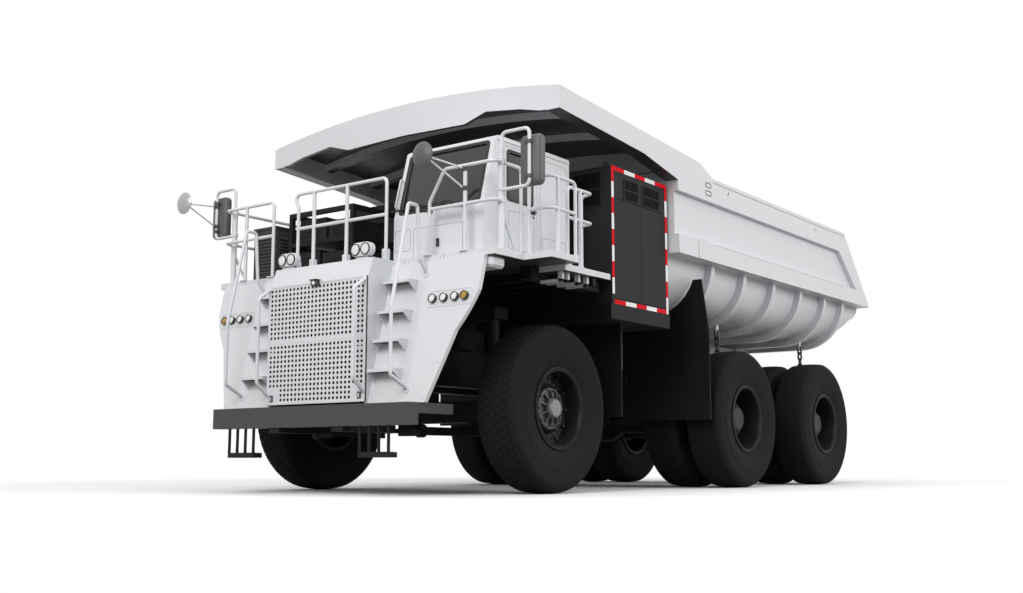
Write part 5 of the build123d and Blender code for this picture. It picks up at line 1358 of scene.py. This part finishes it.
def bed_fittings():
    """On the bed's sides: the line under the cap, slots, holes, tail posts, joint plates and welds."""
    shape = Shape(white, seal)
    post = [(8.430, 4.150), (9.045, 4.150), (9.613, 3.535), (9.200, 3.535)]
    post_deep = 0.075
    for sign in SIGNS:
        face, out = sign * BED_X, (sign, 0, 0)
        line_x = sorted((face, face + sign * 0.0025))
        shape.box(line_x, (FRONT + 3.497, FRONT + 8.72), (4.453, 4.459), seal, 0.0005)
        for z in (4.387, 4.267):
            spot = (face, FRONT + 3.36, z)
            loops = [panel(0.19 - d, 0.075 - d, 0.036 - d / 2, spot, BACK, UP) for d in (0.0, 0.022)]
            shape.ring(*loops, Vector(out) * 0.003, seal)
        for y, z in ((4.0, 4.378), (7.33, 4.372)):
            spot = (face, FRONT + y, z)
            shape.flange(spot, out, 0.030, 0.028, 0.006, 0.018, 24)
            shape.stud(spot, out, 0.019, 0.018, 0.002, 24, seal)
        loop = [(sign * (BED_X - post_deep), FRONT + y, z) for y, z in post]
        shape.prism(loop, (sign * (post_deep - 0.0002), 0, 0))
        plate = ((face, FRONT + 3.210, 3.400), BACK, UP)
        shape.prism(panel(0.370, 0.278, 0.012, *plate), Vector(out) * 0.010, soft=0.003)
        shape.border(0.378, 0.286, 0.012, (0.0, 0.010), plate, Vector(out) * 0.0015, seal)
        for z in (3.268, 3.532):
            shape.tube([(face, FRONT + 3.55, z), (face, FRONT + 8.55, z)], 0.006, 8)
    piece("bed_fittings", shape, "bed")


bed_fittings()


# Stage, light and camera

def seen_or_lit(tree, seen, lit):
    """A value that is one thing for the picture and another for the light that reaches the truck."""
    path = tree.nodes.new("ShaderNodeLightPath").outputs
    rays = path["Is Camera Ray"]
    for name in ("Is Glossy Ray", "Is Transmission Ray"):
        rays = grow(tree, "Math", {0: rays, 1: path[name]}, operation="MAXIMUM")[0]
    return grow(tree, "MapRange", {"Value": rays, "To Min": lit, "To Max": seen})["Result"]


def floor_material():
    """The pale floor, which throws little light back up at the truck and fades to the background far off."""
    material = surface("floor", (0.9, 0.9, 0.9), 0.9, gloss=0.0, variation=0.0, dust_amount=0.0, grain=0.0)
    tree = material.node_tree
    shader = tree.nodes["Principled BSDF"]
    level = seen_or_lit(tree, 0.92, 0.22)
    tone = grow(tree, "CombineColor", {channel: level for channel in range(3)})["Color"]
    fill(tree, shader, {"Base Color": tone})
    spot = grow(tree, "TexCoord", {})["Object"]
    reach = grow(tree, "VectorMath", {0: spot}, operation="LENGTH")["Value"]
    ramp = {"Value": reach, "From Min": 7.0, "From Max": 13.0}
    fade = grow(tree, "MapRange", ramp, interpolation_type="SMOOTHSTEP")["Result"]
    glow = grow(tree, "Emission", {"Strength": seen_or_lit(tree, 1.0, 0.2)})[0]
    blend = grow(tree, "MixShader", {0: fade, 1: shader.outputs[0], 2: glow})[0]
    fill(tree, tree.nodes["Material Output"], {"Surface": blend})
    return material


def stage():
    """A pale floor, soft lights and the camera at the photograph's angle."""
    scene = bpy.context.scene
    floor_form = bmesh.new()
    bmesh.ops.create_grid(floor_form, x_segments=1, y_segments=1, size=400.0)
    floor_mesh = bpy.data.meshes.new("floor")
    floor_form.to_mesh(floor_mesh)
    floor_form.free()
    floor_mesh.materials.append(floor_material())
    floor = bpy.data.objects.new("floor", floor_mesh)
    scene.collection.objects.link(floor)
    world = bpy.data.worlds.new("studio")
    scene.world = world
    world.use_nodes = True
    tree = world.node_tree
    back = {"Color": (1.0, 1.0, 1.0, 1.0), "Strength": seen_or_lit(tree, 1.0, 0.75)}
    fill(tree, tree.nodes["Background"], back)
    for name, at, aim, size, power in (
        ("key", (5.0, -19.0, 11.0), (0.0, -3.0, 2.5), 9.0, 1500.0),
        ("side", (20.0, 2.0, 10.0), (1.5, 1.0, 2.5), 10.0, 1500.0),
        ("top", (0.0, 0.0, 19.0), (0.0, 0.0, 0.0), 16.0, 650.0),
    ):
        lamp = bpy.data.lights.new(name, "AREA")
        lamp.shape = "DISK"
        lamp.size = size
        lamp.energy = power
        made = bpy.data.objects.new(name, lamp)
        made.location = at
        made.rotation_euler = (Vector(aim) - Vector(at)).to_track_quat("-Z", "Y").to_euler()
        scene.collection.objects.link(made)
    camera = bpy.data.cameras.new("camera")
    camera.sensor_fit = "HORIZONTAL"
    camera.sensor_width = 36.0
    camera.lens = 41.03
    camera.clip_end = 2000.0
    turn, rise = radians(36.78), radians(8.05)
    aim = Vector((-sin(turn) * cos(rise), cos(turn) * cos(rise), sin(rise)))
    viewer = bpy.data.objects.new("camera", camera)
    viewer.location = (10.197, -15.5405, 0.387)
    viewer.rotation_euler = aim.to_track_quat("-Z", "Y").to_euler()
    scene.collection.objects.link(viewer)
    scene.camera = viewer
    scene.view_settings.view_transform = "Standard"


stage()
bpy.data.meshes.remove(carrier)
